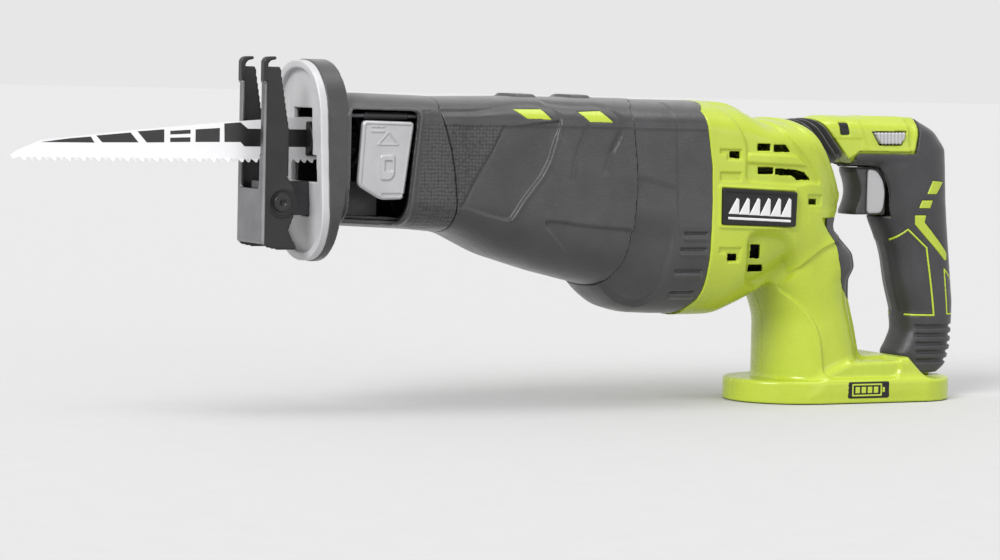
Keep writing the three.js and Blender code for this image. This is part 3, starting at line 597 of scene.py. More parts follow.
def nose_casting_field(x, y, z):
    """The cast tube, its front wall just behind the rim and the opening for the blade."""
    tilt = lean(x, z)
    away = np.abs(y)
    lip = common(ring(x, y, z, 0.5), -138.6 - tilt, tilt + 133.8)
    wall = common(ring(x, y, z, SKIN + 0.3), -137 - tilt, x - at(SLEEVE_BACK, z) + 5)
    cup = common(ring(x, y, z, 5.2), tilt + 135)
    back = common(ring(x, y, z, SKIN + 4), -132 - tilt)
    shell = common(cut_soft(join_soft(lip, wall, 1.5), cup, 1.5), -back)
    tube = common(body(NOSE, x, y, z) + SKIN + 0.4, -131 - x, x + 53)
    tube = common(tube, -common(body(NOSE, x, y, z) + SKIN + WALL, x + 66))
    opening = either(common(away - 12.8, np.abs(z - 152) - 20.6), common(away - 18, np.abs(z - 138.5) - 7.5))
    return common(either(shell, tube), -common(opening, x + 120), -lever_window(x, y, z),
                  -block(x, y, z, (-150, -6.4, 111.6), (-90, 6.4, 131.4)))


def clamp_lever_field(x, y, z):
    plate = soft([[-113.4, 166.4], [-81.4, 165.9], [-87.4, 122.2], [-101.6, 121.9], [-115.9, 129.8]], 2.5)
    slab = prism(plate, x, z, y, -32.6, -29.6, 0.8)
    border = step(np.abs(region(plate, x, z) + 1.4) - 0.5, 0.8)
    arrow = region([[-104, 153], [-91.5, 153], [-97.5, 160]], x, z)
    lock = region(soft([[-102, 147], [-93.5, 147], [-93.5, 136], [-96, 133], [-102, 133]], 1.5), x, z)
    window = region(rect(-99.5, -95, 144, 138), x, z)
    front = ease((-y - 31) / 0.8)
    art = 0.5 * border + 0.45 * step(np.abs(arrow) - 0.35, 0.6)
    art = art + 0.7 * step(lock, 0.9) - 0.9 * step(window, 0.8)
    bars = [region(rect(-108, -100, z0, z0 - 1), x, z) for z0 in (163.5, 160.8)]
    art += 0.35 * step(either(*bars), 0.6)
    grip = common(np.abs(x + 94) - 7, np.abs(z - 124.6) - 0.8)
    slab = slab - art * front + 0.5 * step(grip, 0.6) * front
    barrel = bar(y, z, x, LEVER_HINGE, 2.2, -111, -85)
    tooth = block(x, y, z, (-107, -29.7, 150), (-91, -24, 164))
    return common(either(join_soft(slab, barrel, 1), tooth), -bar(y, z, x, LEVER_HINGE, 1.4, -125, -70))


def make_nose():
    boot = sculpt("nose_boot_skin", nose_boot_field, (-139, -35, 85), (-52, 35, 201), FINE, "rubber",
                  "housing", "nose_boot")
    patch(boot, "pebble", PEBBLE_ZONE)
    casting = sculpt("nose_ring_casting", nose_casting_field, (-139, -35, 85), (-52, 35, 201), FINE, "cast",
                     "housing", "nose_casting")
    patch(casting, "oxide", [[-127, 186], [-127, 98], [-50, 98], [-50, 186]])
    lever = sculpt("release_lever", clamp_lever_field, (-117, -34, 120), (-80, -23, 173), 0.4, "lever",
                   "release_lever", "clamp_lever")
    # The lever's top strip with its hinge is dark steel, partly its own finish and partly painted shade for
    # the shadow gap under the nose's top cap.
    patch(lever, "oxide", [[-125, 180], [-125, 166.7], [-75, 166.3], [-75, 180]])


# --- body boot and drum
CREASE_LINE = [[-27.1, 163.5], [-34.1, 149.2], [-41, 138.3], [-47.5, 126.3], [-51.5, 118.5]]
RIDGE_LINE = [[8.6, 168], [7.5, 163], [4.8, 155.2], [1.9, 145.2], [-2.8, 136.4], [-13.5, 123.2],
              [-21.8, 110.6]]
PANEL = [*CREASE_LINE, [-42.1, 115.5], [-32.9, 112.8], *RIDGE_LINE[::-1]]
PEBBLE_ZONE = [[-76.5, 165.2], [-26.3, 165.2], *CREASE_LINE, [-55, 107], [-70, 104.5], [-80, 106]]
LOWER_PANEL = [[-2, 110.4], [10.1, 109.8], [23.9, 107.8], [60, 104.9], [56, 90], [49, 82], [38, 79], [20, 88],
               [8, 100]]
INSETS = [[[-20.8, 174.3], [-2.3, 174.6], [3.5, 168.1], [-12.6, 168.5]],
          [[19.8, 173.4], [34.9, 174.2], [42.6, 167.1], [26.9, 167.2]]]
BROWS = [
    [[-70, 171.5], [-45, 172], [-28, 174.2], [-17, 176.4], [-3, 176.8], [5, 173.5], [8.5, 168], [8, 160]],
    [[4, 177.5], [14, 176.6], [24, 176.2], [35, 176.8], [43, 173.5], [48.5, 167.5], [47, 160], [42, 151]],
]
TOP_PADS = [[[-14, 0], [-8, 13], [6, 13], [2, 0], [6, -13], [-8, -13]],
            [[24, 0], [28, 13], [42, 13], [38, 0], [42, -13], [28, -13]]]


def boot_outer(x, y, z):
    base = body(BOOT, x, y, z)
    side = outward(y, 20, 4)
    ramp = ease(1 - trail(soft(RIDGE_LINE, 4, False), x, z, 40) / 34)
    panel = press(PANEL, 2.5, 1.6, x, z) * (0.25 + 2.0 * ramp)
    ridge_area = [[-24, 110], [-24, 168], [20, 168], [20, 110]]
    ridge = 0.6 * groove(before(RIDGE_LINE, x, z) - 1.2, 1.3) * step(region(ridge_area, x, z), 4)
    edge = ease(1 - trail(LOWER_PANEL[:4], x, z, 30) / 24)
    lower = press(LOWER_PANEL, 5, 1.6, x, z) * 2.0 * edge
    lines = [([[25.4, 165], [21.3, 154.3], [17.9, 144.4], [16.9, 134.4]], 0.7, 1.5),
             ([[45, 160], [40.5, 150], [38, 140]], 0.6, 1.7),
             (CREASE_LINE, 0.9, 1.0)]
    grooves = sum(depth * groove(trail(path, x, z), width) for path, depth, width in lines)
    brows = sum(1.1 * groove(trail(soft(path, 5, False), x, z), 1.7) for path in BROWS)
    insets = sum(0.7 * step(region(outline, x, z), 0.8) for outline in INSETS)
    crease = 0.35 * groove(z - 165.2, 1.0)
    pads = sum(1.8 * press(outline, 3, 3, x, y) for outline in TOP_PADS) * ease((z - 172) / 3)
    recess = np.minimum(panel + lower + grooves + brows + insets, 2.2)
    return base + side * (recess - ridge - crease) - pads


def body_boot_field(x, y, z):
    outer = boot_outer(x, y, z)
    hollow = common(outer + 1.2, body(BOOT, x, y, z) + SKIN)
    return common(outer, -hollow, 0.35 - before(NOSE_SEAM, x, z), before(BOOT_SEAM, x, z) + 0.1)


CRESCENT = [[84, 130], [82.2, 98], [80.5, 84], [79.5, 73.7], [76.9, 66], [72, 60.7], [62, 59.5], [52, 62.5],
            [40, 64], [30, 50], [20, 70], [40, 140]]
DRUM_SLOTS = [[89.5, 105, 103.3], [87.5, 105, 94], [85.3, 103.5, 81.2], [85.7, 101.4, 68.4]]


def drum_outer(x, y, z):
    side = outward(y, 20, 4)
    slots = sum(1.5 * step(region(rect(a, b, h + 0.8, h - 0.8), x, z), 1.0)
                for a, b, h in DRUM_SLOTS)
    ribs = sum(groove(trail([[a + 1, h - 3.2], [b, h - 3.2]], x, z), 1.1) for a, b, h in DRUM_SLOTS)
    hollow = 2.5 * press(CRESCENT, 4, 4.5, x, z) * (0.15 + 0.85 * ease((118 - z) / 22))
    crease = 0.5 * ease((before([[81.6, 170], [85.4, 100]], x, z) + 0.5) / 1.6) * ease((z - 100) / 8)
    shoulder = 0.3 * groove(z - 164.8, 1.0)
    return body(DRUM, x, y, z) + side * (slots - ribs + hollow - crease - shoulder) + 0.5


def drum_field(x, y, z):
    outer = drum_outer(x, y, z)
    hollow = common(outer + 1.2, body(DRUM, x, y, z) + WALL + 0.6)
    return common(outer, -hollow, 0.25 - before(BOOT_SEAM, x, z), before(DRUM_SEAM, x, z) + 0.1)


def make_body():
    boot = sculpt("body_boot_skin", body_boot_field, (-78, -44, 60), (72, 44, 184), FINE, "rubber",
                  "housing", "body_boot")
    patch(boot, "pebble", PEBBLE_ZONE)
    sculpt("motor_drum", drum_field, (30, -46, 50), (119, 46, 183), FINE, "dark", "housing", "drum")


# --- green housing
COLUMN = {
    "front": profile([[-10, 171], [50, 171], [62, 167], [76, 160], [100, 158], [120, 160]]),
    "back": profile([[-10, 236], [27, 234], [45, 229.8], [62, 224.8], [74, 224.4], [81, 228.5], [90, 226.5],
                     [108, 208], [120, 205]], 1.5),
    "half": profile([[-10, 33], [54, 34], [90, 37], [120, 36]]),
}
BASE = {"front": 150, "back": 299, "half": 38, "height": 13.5}
PAD_ZONE = [[188, 112], [190, 109], [202, 95.3], [203, 88], [206.8, 75.2], [209.5, 69], [221.6, 61.5],
            [250, 61], [250, 112]]
VENTS = [
    rect(138.9, 147.5, 156, 152.4),
    [[150.3, 155.7], [158.7, 155.7], [161.9, 151.8], [150.3, 151.8]],
    [[139.6, 142.3], [149.9, 142.1], [150, 138.8], [139.7, 138.8]],
    [[151.7, 141.6], [164.9, 141], [173, 139.5], [177.8, 135.2], [167.8, 135.2], [163.6, 137.8],
     [151.7, 138.2]],
    [[118.9, 151.6], [125.7, 151.5], [125.8, 147.7], [118.9, 147.9]],
    [[177.3, 123.5], [183.1, 123.3], [183.1, 120.4], [177.3, 120.6]],
    [[119.4, 91], [126.1, 90.9], [126.4, 87.3], [119.6, 87.4]],
    [[138.4, 96.3], [144.7, 96.3], [145.8, 88.2], [138.7, 88.4]],
    [[138.7, 84.2], [149.2, 84], [152, 80], [139.2, 80.4]],
]
HOLLOW_SIDE = [[80, 190], [157.3, 190], [207.2, 128], [207.2, 110], [246, 60], [246, 5], [160, 5], [157, 62],
               [80, 45]]
VENT_PANEL = [[118, 184], [116.5, 178.5], [123.1, 170], [126.8, 163.1], [129.6, 157.9], [130.8, 152],
              [130.4, 134.2], [166, 132], [179, 133.5], [186.5, 132.5], [178.9, 143.1], [167.8, 153.7],
              [157.5, 165], [153, 174], [140, 184]]
VENT_RIB = [[131.5, 150.6], [167.9, 149.4], [174.8, 143.2], [131.5, 145]]
LABEL_FRAME = [[111.3, 131.9], [167.3, 129.9], [166.7, 104.9], [112.1, 106.4]]
LABEL = [[113.7, 130.3], [165.5, 127.9], [164.9, 107.2], [114, 108.6]]
VALLEY = [[134, 103.5], [160, 102.5], [168, 93], [174.5, 80], [168, 72], [139, 71], [136, 80]]
COLUMN_STEP = [[166, 70.5], [178, 61.5], [187, 52], [192, 42], [194.5, 26], [194.8, 15], [250, 15], [244, 60],
               [226, 96], [214, 101], [190, 94], [175, 82]]


def column(x, y, z, inset):
    front, back = at(COLUMN["front"], z) + inset, at(COLUMN["back"], z) - inset
    return common(rounded(y, x, at(COLUMN["half"], z) - inset, back, back - 30, front + 26, front, 2.1),
                  z - 112 + inset)


def base_outline(x, y, inset):
    return rounded(y, x, BASE["half"] - inset, BASE["back"] - inset, BASE["back"] - 34, BASE["front"] + 46,
                   BASE["front"] + inset, 2.1)


def base_plate(x, y, z):
    side = np.maximum(z - BASE["height"] + 2, 0.8 - z)
    return round_edge(base_outline(x, y, 0) + 2, side, 2)


def housing_outer(x, y, z):
    away = np.abs(y)
    barrel = common(body(BARREL, np.minimum(x, 210), y, z), x - 210, (x - 210 + 0.86 * (117.5 - z)) / 1.32)
    deck_side = [[184, 4], [196, 19], [214, 26], [256, 27], [270.5, 13], [270.5, 4]]
    deck = prism(deck_side, x, z, y, -35.5, 35.5, 4)
    outer = join_soft(barrel, column(x, y, z, 0), 7)
    outer = join_soft(outer, base_plate(x, y, z), 3)
    outer = join_soft(outer, deck, 5)
    side = ease((away - 16) / 5)
    panel = 1.7 * press(VENT_PANEL, 4, 2.6, x, z)
    rib = 1.6 * press(VENT_RIB, 2, 2.2, x, z)
    frame_edge = 0.9 * press(LABEL_FRAME, 2, 1.4, x, z)
    seat = 0.9 * step(region(LABEL, x, z) - 0.3, 0.6)
    grooves = [[[112.1, 152.9], [126.8, 152.7], [126.8, 146.6], [117, 146.8], [117, 150.2], [112.1, 150.4]],
               [[112.5, 139.3], [127, 139.3], [127.1, 134.2], [112.7, 134.4]],
               [[175.9, 126.2], [187.6, 126], [187, 119.6], [176.2, 119.8]],
               [[113.5, 94.9], [128.7, 94.7], [128.4, 86.2], [119.8, 86.4], [119.8, 91.6], [113.5, 91.8]]]
    pockets = sum(1.1 * step(region(outline, x, z), 1.0) for outline in grooves)
    valley = 5.5 * press(VALLEY, 8, 7, x, z) * ease((away - 20) / 6)
    flank = 2.0 * press(COLUMN_STEP, 8, 2.2, x, z)
    rim = 1.0 * step(np.abs(bellows_plane(x, z, 0.0) + 3.5) - 2.6, 1.6) * ease((z - 118) / 8)
    return common(outer + side * (panel - rib - frame_edge + seat + pockets + valley + flank) - rim, -z)


def well_plan(x, y, z, grow):
    """The battery well seen from above: a rounded rectangle whose back wall leans forward higher up."""
    front, back = 182.5 - grow, 213 + grow - 0.08 * np.maximum(z - 40, 0)
    corner = 5 + grow
    along = np.abs(x - (front + back) / 2) - (back - front) / 2 + corner
    across = np.abs(y) - 18.7 - grow + corner
    return round_edge(along, across, corner)


def battery_well_field(x, y, z):
    shell = common(well_plan(x, y, z, 2.4), z - 70, 10.4 - z)
    cavity = common(well_plan(x, y, z, 0), z - 67)
    slots = common(np.abs(x - 199) - 9, np.abs(np.abs(y) - 9) - 2)
    rails = common(np.abs(z - 22) - 1.6, np.abs(x - 197.5) - 12, 17 - np.abs(y))
    return either(common(shell, -cavity, -slots), common(rails, well_plan(x, y, z, 1)))


def housing_field(side):
    def field(x, y, z):
        outer = housing_outer(x, y, z)
        hollow = common(outer + WALL, BASE["height"] - 3.5 - z, region(HOLLOW_SIDE, x, z, 90))
        seat = common(region(PAD_ZONE, x, z), -(outer + 2))
        under = common(base_outline(x, y, 4.5), z - BASE["height"] + 3.4)
        shell = common(outer, -hollow, -under)
        bosses = bosses_at("housing", 5, x, z)
        lug = block(x, y, z, (278, -6, 8), (290, 6, 31), 1.5)
        shell = either(shell, common(bosses, outer + 0.2), common(lug, 9 - z))
        well = common(well_plan(x, y, z, 2.7), z - 70.5)
        vents = either(*(region(outline, x, z) for outline in VENTS))
        vents = common(vents - 0.5 * np.clip(-outer, 0, 2), 24 - np.abs(y))
        pivot = bar(x, z, y, HANDLE_PIVOT, 3.4, -50, 50)
        heads = counterbores("housing", 4.2, 70, x, y, z)
        mouth = common(-bellows_plane(x, z, 0.0), 110 - z)
        wire_hole = common(np.hypot(y, z - 155) - 9, 165 - x)
        return common(shell, -well, -vents, -pivot, -heads, -mouth, -wire_hole, -seat,
                      0.2 - before(DRUM_SEAM, x, z), 0.12 - side * y)
    return field


BELLOWS = {"housing": [[177, 170.3], [203, 138]], "handle": [[198, 171.8], [218.5, 147.5]], "half": 19.5}


def bellows_frame(t):
    """Centre, half-height and upward direction of the bellows' section at t: 0 housing, 1 handle."""
    ends = zip(BELLOWS["housing"], BELLOWS["handle"])
    top, bottom = (np.array(fixed) * (1 - t) + np.array(moving) * t for fixed, moving in ends)
    height = np.linalg.norm(top - bottom)
    return (top + bottom) / 2, height / 2, (top - bottom) / height


def bellows_plane(x, z, t):
    """Distance past the bellows' section at t, positive towards the handle."""
    centre, _, up = bellows_frame(t)
    return (x - centre[0]) * up[1] - (z - centre[1]) * up[0]


def make_housing():
    sculpt_halves("green_housing", housing_field, (104, 0, 0), (304, 46, 183), "housing")
    sculpt("battery_cavity", battery_well_field, (174, -24, 10), (224, 24, 79), COARSE, "black", "housing",
           "battery_well")


# --- handle
GRIP = {
    "front": profile([[15.2, 270], [22, 263], [27.5, 260], [31, 263.5], [41, 268.5], [53, 267], [70, 261.6],
                      [87.5, 258], [100, 253.5], [110, 248.5], [122, 246], [142, 240], [154, 232],
                      [173, 232]], 2),
    "back": profile([[15.2, 294], [20, 301.5], [31, 304.6], [59, 304.8], [97, 301], [122, 298.4],
                     [154, 296.8], [165, 288.4], [173, 273.5]], 1.5),
    "half": profile([[15.2, 15], [27.5, 16], [59, 17], [100, 16.5], [122, 17.5], [154, 18.2], [165, 16],
                     [173, 9]], 2.5),
}
NECK = {
    "top": profile([[180, 170], [199, 171.5], [205, 173.6], [275, 172.9]], 2),
    "bottom": profile([[180, 140], [214, 141], [228, 142.3], [275, 142]]),
    "half": 18.1,
    "shoulder": 163,
    "lower": 150,
}
CAP_ZONE = [[180, 190], [274.3, 190], [273.4, 172.9], [267, 151.3], [227, 151.4], [214, 142.4], [208, 130],
            [180, 130]]
TRIGGER_POCKET = [[219, 143], [241, 142], [246, 138], [249.6, 130.3], [250.6, 120.3], [248.5, 112.4],
                  [219, 112.4]]
TRIGGER_TRAVEL = 7.8
LOCK = [[235.4, 163.9], [260, 164.2], [256.4, 156.2], [240.7, 156]]
FOOT_SPACE = [[225, -5], [225, 28.3], [256.6, 28.3], [272, 14.7], [330, 14.7], [330, -5]]
STRIPE = [[268.7, 113], [277.1, 113], [276.2, 108.6], [295.2, 89.4], [295, 84.6], [292.6, 85], [268.9, 107.3]]
DASHES = [[[281, 134.3], [290.7, 133.6], [284.5, 125.9], [276.9, 125.9]],
          [[273.5, 122.2], [281.6, 122.2], [279.7, 117.2], [271.3, 117.2]]]
FRONT_LINE = [[243, 95.3], [247, 93.2], [251.5, 94.1], [264.3, 104.2], [278.4, 92.8], [282.2, 70],
              [285.1, 51], [257.3, 51.2]]
REAR_LINE = [[302, 71.5], [292.6, 79.5], [294.2, 64], [295.5, 51.6], [303.5, 51.4]]


def grip(x, y, z, inset):
    front, back = at(GRIP["front"], z) + inset, at(GRIP["back"], z) - inset
    depth = back - front
    outline = rounded(y, x, at(GRIP["half"], z) - inset, back, back - depth * 0.45, front + depth * 0.35,
                      front, 2.4)
    return common(outline, z - 173 + inset, 15.2 + inset - z)


def handle_outer(x, y, z, inset):
    neck = common(body(NECK, x, y, z) + inset, x - 262, inset - bellows_plane(x, z, 1.0))
    return join_soft(grip(x, y, z, inset), neck, 2)


def trigger_room(x, y, z):
    """The slot behind the trigger that it slides into when it is pulled."""
    return common(region(TRIGGER_POCKET, x - TRIGGER_TRAVEL, z, 20), np.abs(y) - 13.2)


def handle_marks(x, z):
    """Distance to the lime accents' outlines, each cut as a shallow seat into the overmould."""
    return either(region(STRIPE, x, z), *(region(outline, x, z) for outline in DASHES),
                  trail(FRONT_LINE, x, z) - 0.7, trail(REAR_LINE, x, z) - 0.65)


def overmould_field(x, y, z):
    side = outward(y, 3, 3)
    outer = handle_outer(x, y, z, 0)
    ribs = sum(step(np.abs(z - h) - 1.1, 0.9) for h in (43.9, 38.6, 33.2, 28, 22.8))
    ribs = 1.5 * ribs * ease((x - 272) / 3)
    line_panel = 0.5 * step(region(FRONT_LINE, x, z) + 1.2, 0.9)
    seats = 0.8 * step(handle_marks(x, z), 0.5) * outward(y, 7, 1)
    swell = 0.8 * groove(trail([[252, 140], [262, 122], [262, 104]], x, z, 30), 5)
    around_trigger = region(soft(TRIGGER_POCKET, 3), x, z)
    flare = 1.3 * step(around_trigger - 1.4, 1) * ease((30 - np.abs(y)) / 2)
    outer = outer + ribs + side * (line_panel + seats + flare - 0.3 * swell)
    pocket = common(either(common(around_trigger, np.abs(y) - 30), trigger_room(x, y, z)), z - 142.1)
    cap = region(CAP_ZONE, x, z, 60) - 0.25
    foot = region(FOOT_SPACE, x, z, 60)
    lug = block(x, y, z, (275.5, -8, 5), (292.5, 8, 33))
    return common(outer, -handle_outer(x, y, z, 2.5), -cap, -pocket, -foot, -lug)


def handle_field(side):
    def field(x, y, z):
        cap = common(handle_outer(x, y, z, 0), region(CAP_ZONE, x, z, 60))
        face = press([[226, 171], [269, 171], [265, 153.6], [232, 153.6]], 4, 1.4, x, z)
        ledge_area = [[205, 175], [229.5, 175], [227, 140], [205, 140]]
        ledge = 0.8 * ease((160.2 - z) / 0.9) * step(region(ledge_area, x, z), 1)
        cap = cap + outward(y, 8, 3) * (0.35 * face + 0.4 * ledge)
        seat = 0.7 * press([[211, 169.8], [218.2, 169.8], [218.8, 161.6], [212, 161.4]], 1, 0.6, x, z)
        cap = cap + seat * outward(y, 6, 3)
        core = handle_outer(x, y, z, 2.6)
        shell = either(cap, core)
        shell = common(shell, -handle_outer(x, y, z, 2.6 + WALL))
        bosses = either(bosses_at("handle", 4.6, x, z), off_axis(HANDLE_PIVOT, x, z) - 7)
        shell = either(shell, common(bosses, handle_outer(x, y, z, 2.7)))
        around_trigger = region(soft(TRIGGER_POCKET, 3), x, z) - 2.5
        pocket = common(either(around_trigger, trigger_room(x, y, z)), z - 142.1)
        button = region(LOCK, x, z) - 0.4
        foot = region(FOOT_SPACE, x, z, 60) - 0.3
        lug = block(x, y, z, (275.5, -8, 5), (292.5, 8, 36))
        pivot = bar(x, z, y, HANDLE_PIVOT, 3.3, -40, 40)
        heads = counterbores("handle", 4.0, 40, x, y, z)
        return common(shell, -pocket, -button, -foot, -lug, -pivot, -heads, 0.12 - side * y)
    return field


def trigger_field(x, y, z):
    """The finger blade: its front is hollowed for the finger and rounded from side to side."""
    hollow = 3.4 * np.sin(np.clip((z - 115) / 24, 0, 1) * math.pi)
    shape = block(x, y, z, (226.5, -10.6, 113), (251, 10.6, 141.7), 1.4)
    spring_bore = bar(y, z, x, (0, 134), 4.4, 244, 260)
    return common(shape, 227.4 - x + hollow + 0.022 * y * y, -spring_bore)


# The trigger's side plates: their light grey is a painted highlight for the glare on the trigger's sides.
def trigger_cheek_field(x, y, z):
    outline = [[236.6, 141.2], [243, 140], [247.6, 134], [249.2, 126.9], [248.4, 118], [246.5, 114],
               [236.6, 113.8]]
    return prism(soft(outline, 2.5), x, z, np.abs(y), 10.6, 12.6, 0.9)


def lock_field(x, y, z):
    outline = [[235.9, 163.6], [259.4, 163.9], [256.1, 156.6], [241, 156.4]]
    ribs = 0.35 * np.cos(x * 2 * math.pi / 2.6) * outward(y, 17.6, 1.0)
    return prism(soft(outline, 1.5), x, z, y, -19.6, 19.6, 0.9) - ribs + 0.2


def make_handle():
    sculpt_halves("handle_shell", handle_field, (196, 0, 14), (310, 19, 175), "handle")
    sculpt("grip_cover", overmould_field, (226, -19, 14), (310, 19, 175), FINE, "grip", "handle",
           "grip_overmould")
    sculpt("trigger_blade", trigger_field, (226, -12, 112), (252, 12, 143), FINE, "dark", "trigger",
           "trigger")
    # Light grey side plates on the dark trigger: a painted highlight for glare.
    sculpt("trigger_cheeks", trigger_cheek_field, (236, -13, 112), (250, 13, 143), 0.5, "grey", "trigger")
    sculpt("lock_button", lock_field, (234, -20, 155), (262, 20, 165), 0.5, "grey", "lock_off",
           "lock_off_button")


# --- accents, plates and badges
def inset_field(index):
    def field(x, y, z):
        skin = body(BOOT, x, y, z)
        return common(skin + 0.25, -(skin + 2.0), region(INSETS[index], x, z) + 0.25, 20 - np.abs(y))
    return field


def accent_field(x, y, z):
    skin = handle_outer(x, y, z, 0)
    return common(skin - 0.05, -(skin + 1.2), handle_marks(x, z) + 0.12, 8 - np.abs(y))


def cap_badge_field(x, y, z):
    skin = handle_outer(x, y, z, 0)
    outline = soft([[211.5, 169.3], [217.8, 169.3], [218.3, 162.1], [212.4, 161.9]], 1)
    return common(skin + 0.15, -(skin + 1.0), region(outline, x, z), 6 - np.abs(y))


def label_field(x, y, z):
    away = np.abs(y)
    plate = prism(soft(LABEL, 1.5), x, z, away, 43.6, 45.6, 0.5)
    return cut_soft(plate, common(region(LABEL, x, z) + 2.2, 45.25 - away), 0.2)


def label_mark_field(x, y, z):
    """Generic mark: a row of saw teeth over a bar, in a thin frame."""
    pitch = 7.2
    teeth = []
    for left in 118 + pitch * np.arange(6):
        right, drop = left + pitch, 0.05 * (140 - left)
        tooth = [[left, 113.9 + drop], [right, 113.6 + drop], [right, 123.4], [right - 1.6, 124.4]]
        teeth.append(region(tooth, x, z))
    rail = region([[118, 113.2], [161.2, 111.4], [161.2, 109.9], [118, 111.7]], x, z)
    frame_line = np.abs(region(LABEL, x, z) + 1.4) - 0.28
    return common(either(*teeth, rail, frame_line), np.abs(y) - 45.5, 44.9 - np.abs(y))


BADGE = rect(209.6, 239.4, 12.9, 2.9)


def badge_field(x, y, z):
    return prism(soft(BADGE, 1.5), x, z, np.abs(y), 37.2, 38.35, 0.25)


def badge_mark_field(x, y, z):
    """Generic mark: a battery with four charge bars."""
    case = np.abs(region(rect(213, 233.4, 11.2, 4.6), x, z)) - 0.5
    knob = region(rect(234.4, 236, 9.4, 6.4), x, z)
    bars = [region(rect(a, a + 3.1, 9.8, 6), x, z) for a in (214.9, 219.3, 223.7, 228.1)]
    return common(either(case, knob, *bars), np.abs(y) - 38.6, 38.1 - np.abs(y))


def make_trim():
    for index, start in enumerate((-22, 18)):
        sculpt(f"lime_inset_{index + 1}", inset_field(index), (start, -42, 166), (start + 27, 42, 176), 0.5,
               "lime", "housing")
    sculpt("grip_accents", accent_field, (242, -19, 50), (304, 19, 136), 0.45, "lime", "handle")
    sculpt("cap_badge", cap_badge_field, (210, -19, 160), (220, 19, 171), 0.4, "black", "handle")
    sculpt("side_labels", label_field, (112, -46, 106), (167, 46, 132), 0.5, "black", "housing",
           "label_left", "label_right")
    sculpt("label_marks", label_mark_field, (113, -46, 106), (167, 46, 131), 0.35, "paint", "housing")
    sculpt("base_badges", badge_field, (208, -40, 2), (241, 40, 14), 0.4, "black", "housing")
    sculpt("base_badge_marks", badge_mark_field, (212, -40, 3.5), (237, 40, 12.5), 0.3, "lime", "housing")


def knuckle_pad_field(x, y, z):
    outer = housing_outer(x, y, z)
    return common(outer, -(outer + 1.9), region(PAD_ZONE, x, z) + 0.12)


def bellows_ring(t, inset, count):
    centre, height, up = bellows_frame(t)
    angle = 2 * math.pi * (np.arange(count) + 0.5) / count
    sideways, upwards = np.cos(angle), np.sin(angle)
    squareness = 2 / 2.4
    across = np.sign(sideways) * (BELLOWS["half"] - inset) * np.abs(sideways) ** squareness
    rise = np.sign(upwards) * (7 + (height - inset - 7) * np.abs(upwards) ** squareness)
    return np.stack([centre[0] + rise * up[0], across, centre[1] + rise * up[1]], 1)


def make_bellows():
    """A rubber bellows of soft ribs: an outside and an inside wall, joined at both ends."""
    around, stations, ribs = 96, 80, 4
    rings = []
    for i in range(stations + 1):
        t = i / stations
        wave = 0.5 - 0.5 * math.cos(2 * math.pi * ribs * t)
        rings.append(bellows_ring(0.02 + 0.96 * t, 4.2 * (1 - wave ** 0.7), around))
    for i in range(stations, -1, -2):
        rings.append(bellows_ring(0.02 + 0.96 * i / stations, 5.0, around))
    count = len(rings)
    here = np.arange(count * around).reshape(count, around)
    ahead = np.roll(here, -1, 0)
    faces = np.stack([here, np.roll(here, -1, 1), np.roll(ahead, -1, 1), ahead], -1).reshape(-1, 4)
    bellows = add_mesh("rubber_bellows", np.concatenate(rings), faces)
    fit(bellows, "rubber", None, "bellows")
    starts, ends = (bellows_frame(t)[0] * MM for t in (0.1, 0.9))
    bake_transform(bellows)


# --- blade, clamp and shoe
TOOTH_PITCH = 4.25
TOOTH_DEPTH = 2.0
TOOTH_LINE = 141.4
BLADE_BODY = [[-84, 148.5], [-84, 161.5], [-121.5, 161.5], [-124, 167.2], [-137.7, 167.2], [-179, 164],
              [-235, 158.8], [-290.8, 152.4], [-304, 146.8], [-308.1, 144], [-307, 142.2],
              [-303, TOOTH_LINE + TOOTH_DEPTH], [-124, TOOTH_LINE + TOOTH_DEPTH], [-121.5, 148.5]]


def add_plate(mesh, outline, low, high, sets=None):
    """Adds a flat plate with an [x, z] outline between two y values; sets moves single corners sideways."""
    sets = sets or [0.0] * len(outline)
    sides = [[mesh.verts.new((x * MM, (y + s) * MM, z * MM)) for (x, z), s in zip(outline, sets)]
             for y in (low, high)]
    faces = [mesh.faces.new(sides[0]), mesh.faces.new(sides[1][::-1])]
    for i, j in zip(range(len(outline)), [*range(1, len(outline)), 0]):
        faces.append(mesh.faces.new((sides[0][j], sides[0][i], sides[1][i], sides[1][j])))
    bmesh.ops.recalc_face_normals(mesh, faces=faces)


def add_plates(name, outlines, low, high):
    """An object of flat plates; each entry is an outline, or an outline with its sideways sets."""
    mesh = bmesh.new()
    for outline, sets in outlines:
        add_plate(mesh, outline, low, high, sets)
    bmesh.ops.triangulate(mesh, faces=[f for f in mesh.faces if len(f.verts) > 4])
    data = bpy.data.meshes.new(name)
    mesh.to_mesh(data)
    mesh.free()
    return show(bpy.data.objects.new(name, data))


BLADE_PRINT = {
    "wedge_1": [[-291, 151.4], [-274.6, 153.6], [-262.4, 154.7], [-260.3, 151.4]],
    "wedge_2": [[-259.3, 155.3], [-239.4, 157.2], [-234.6, 151.8], [-255.8, 151.6]],
    "wedge_3": [[-235.3, 157.9], [-219.6, 159.2], [-219.5, 152], [-229.8, 151.8]],
    "bar_1": [[-216, 158.4], [-204, 159.2], [-204, 157], [-216, 156.4]],
    "bar_2": [[-216, 154.6], [-204, 155], [-204, 152.4], [-216, 152.2]],
    "bar_3": [[-201, 159.4], [-186.5, 160.4], [-186.5, 152.6], [-201, 152.4]],
    "band": [[-183.9, 162.9], [-174.2, 163.7], [-169.6, 160.2], [-122, 160.2], [-122, 150.3], [-171.5, 150.3],
             [-174, 152.7], [-183.6, 152.6]],
}


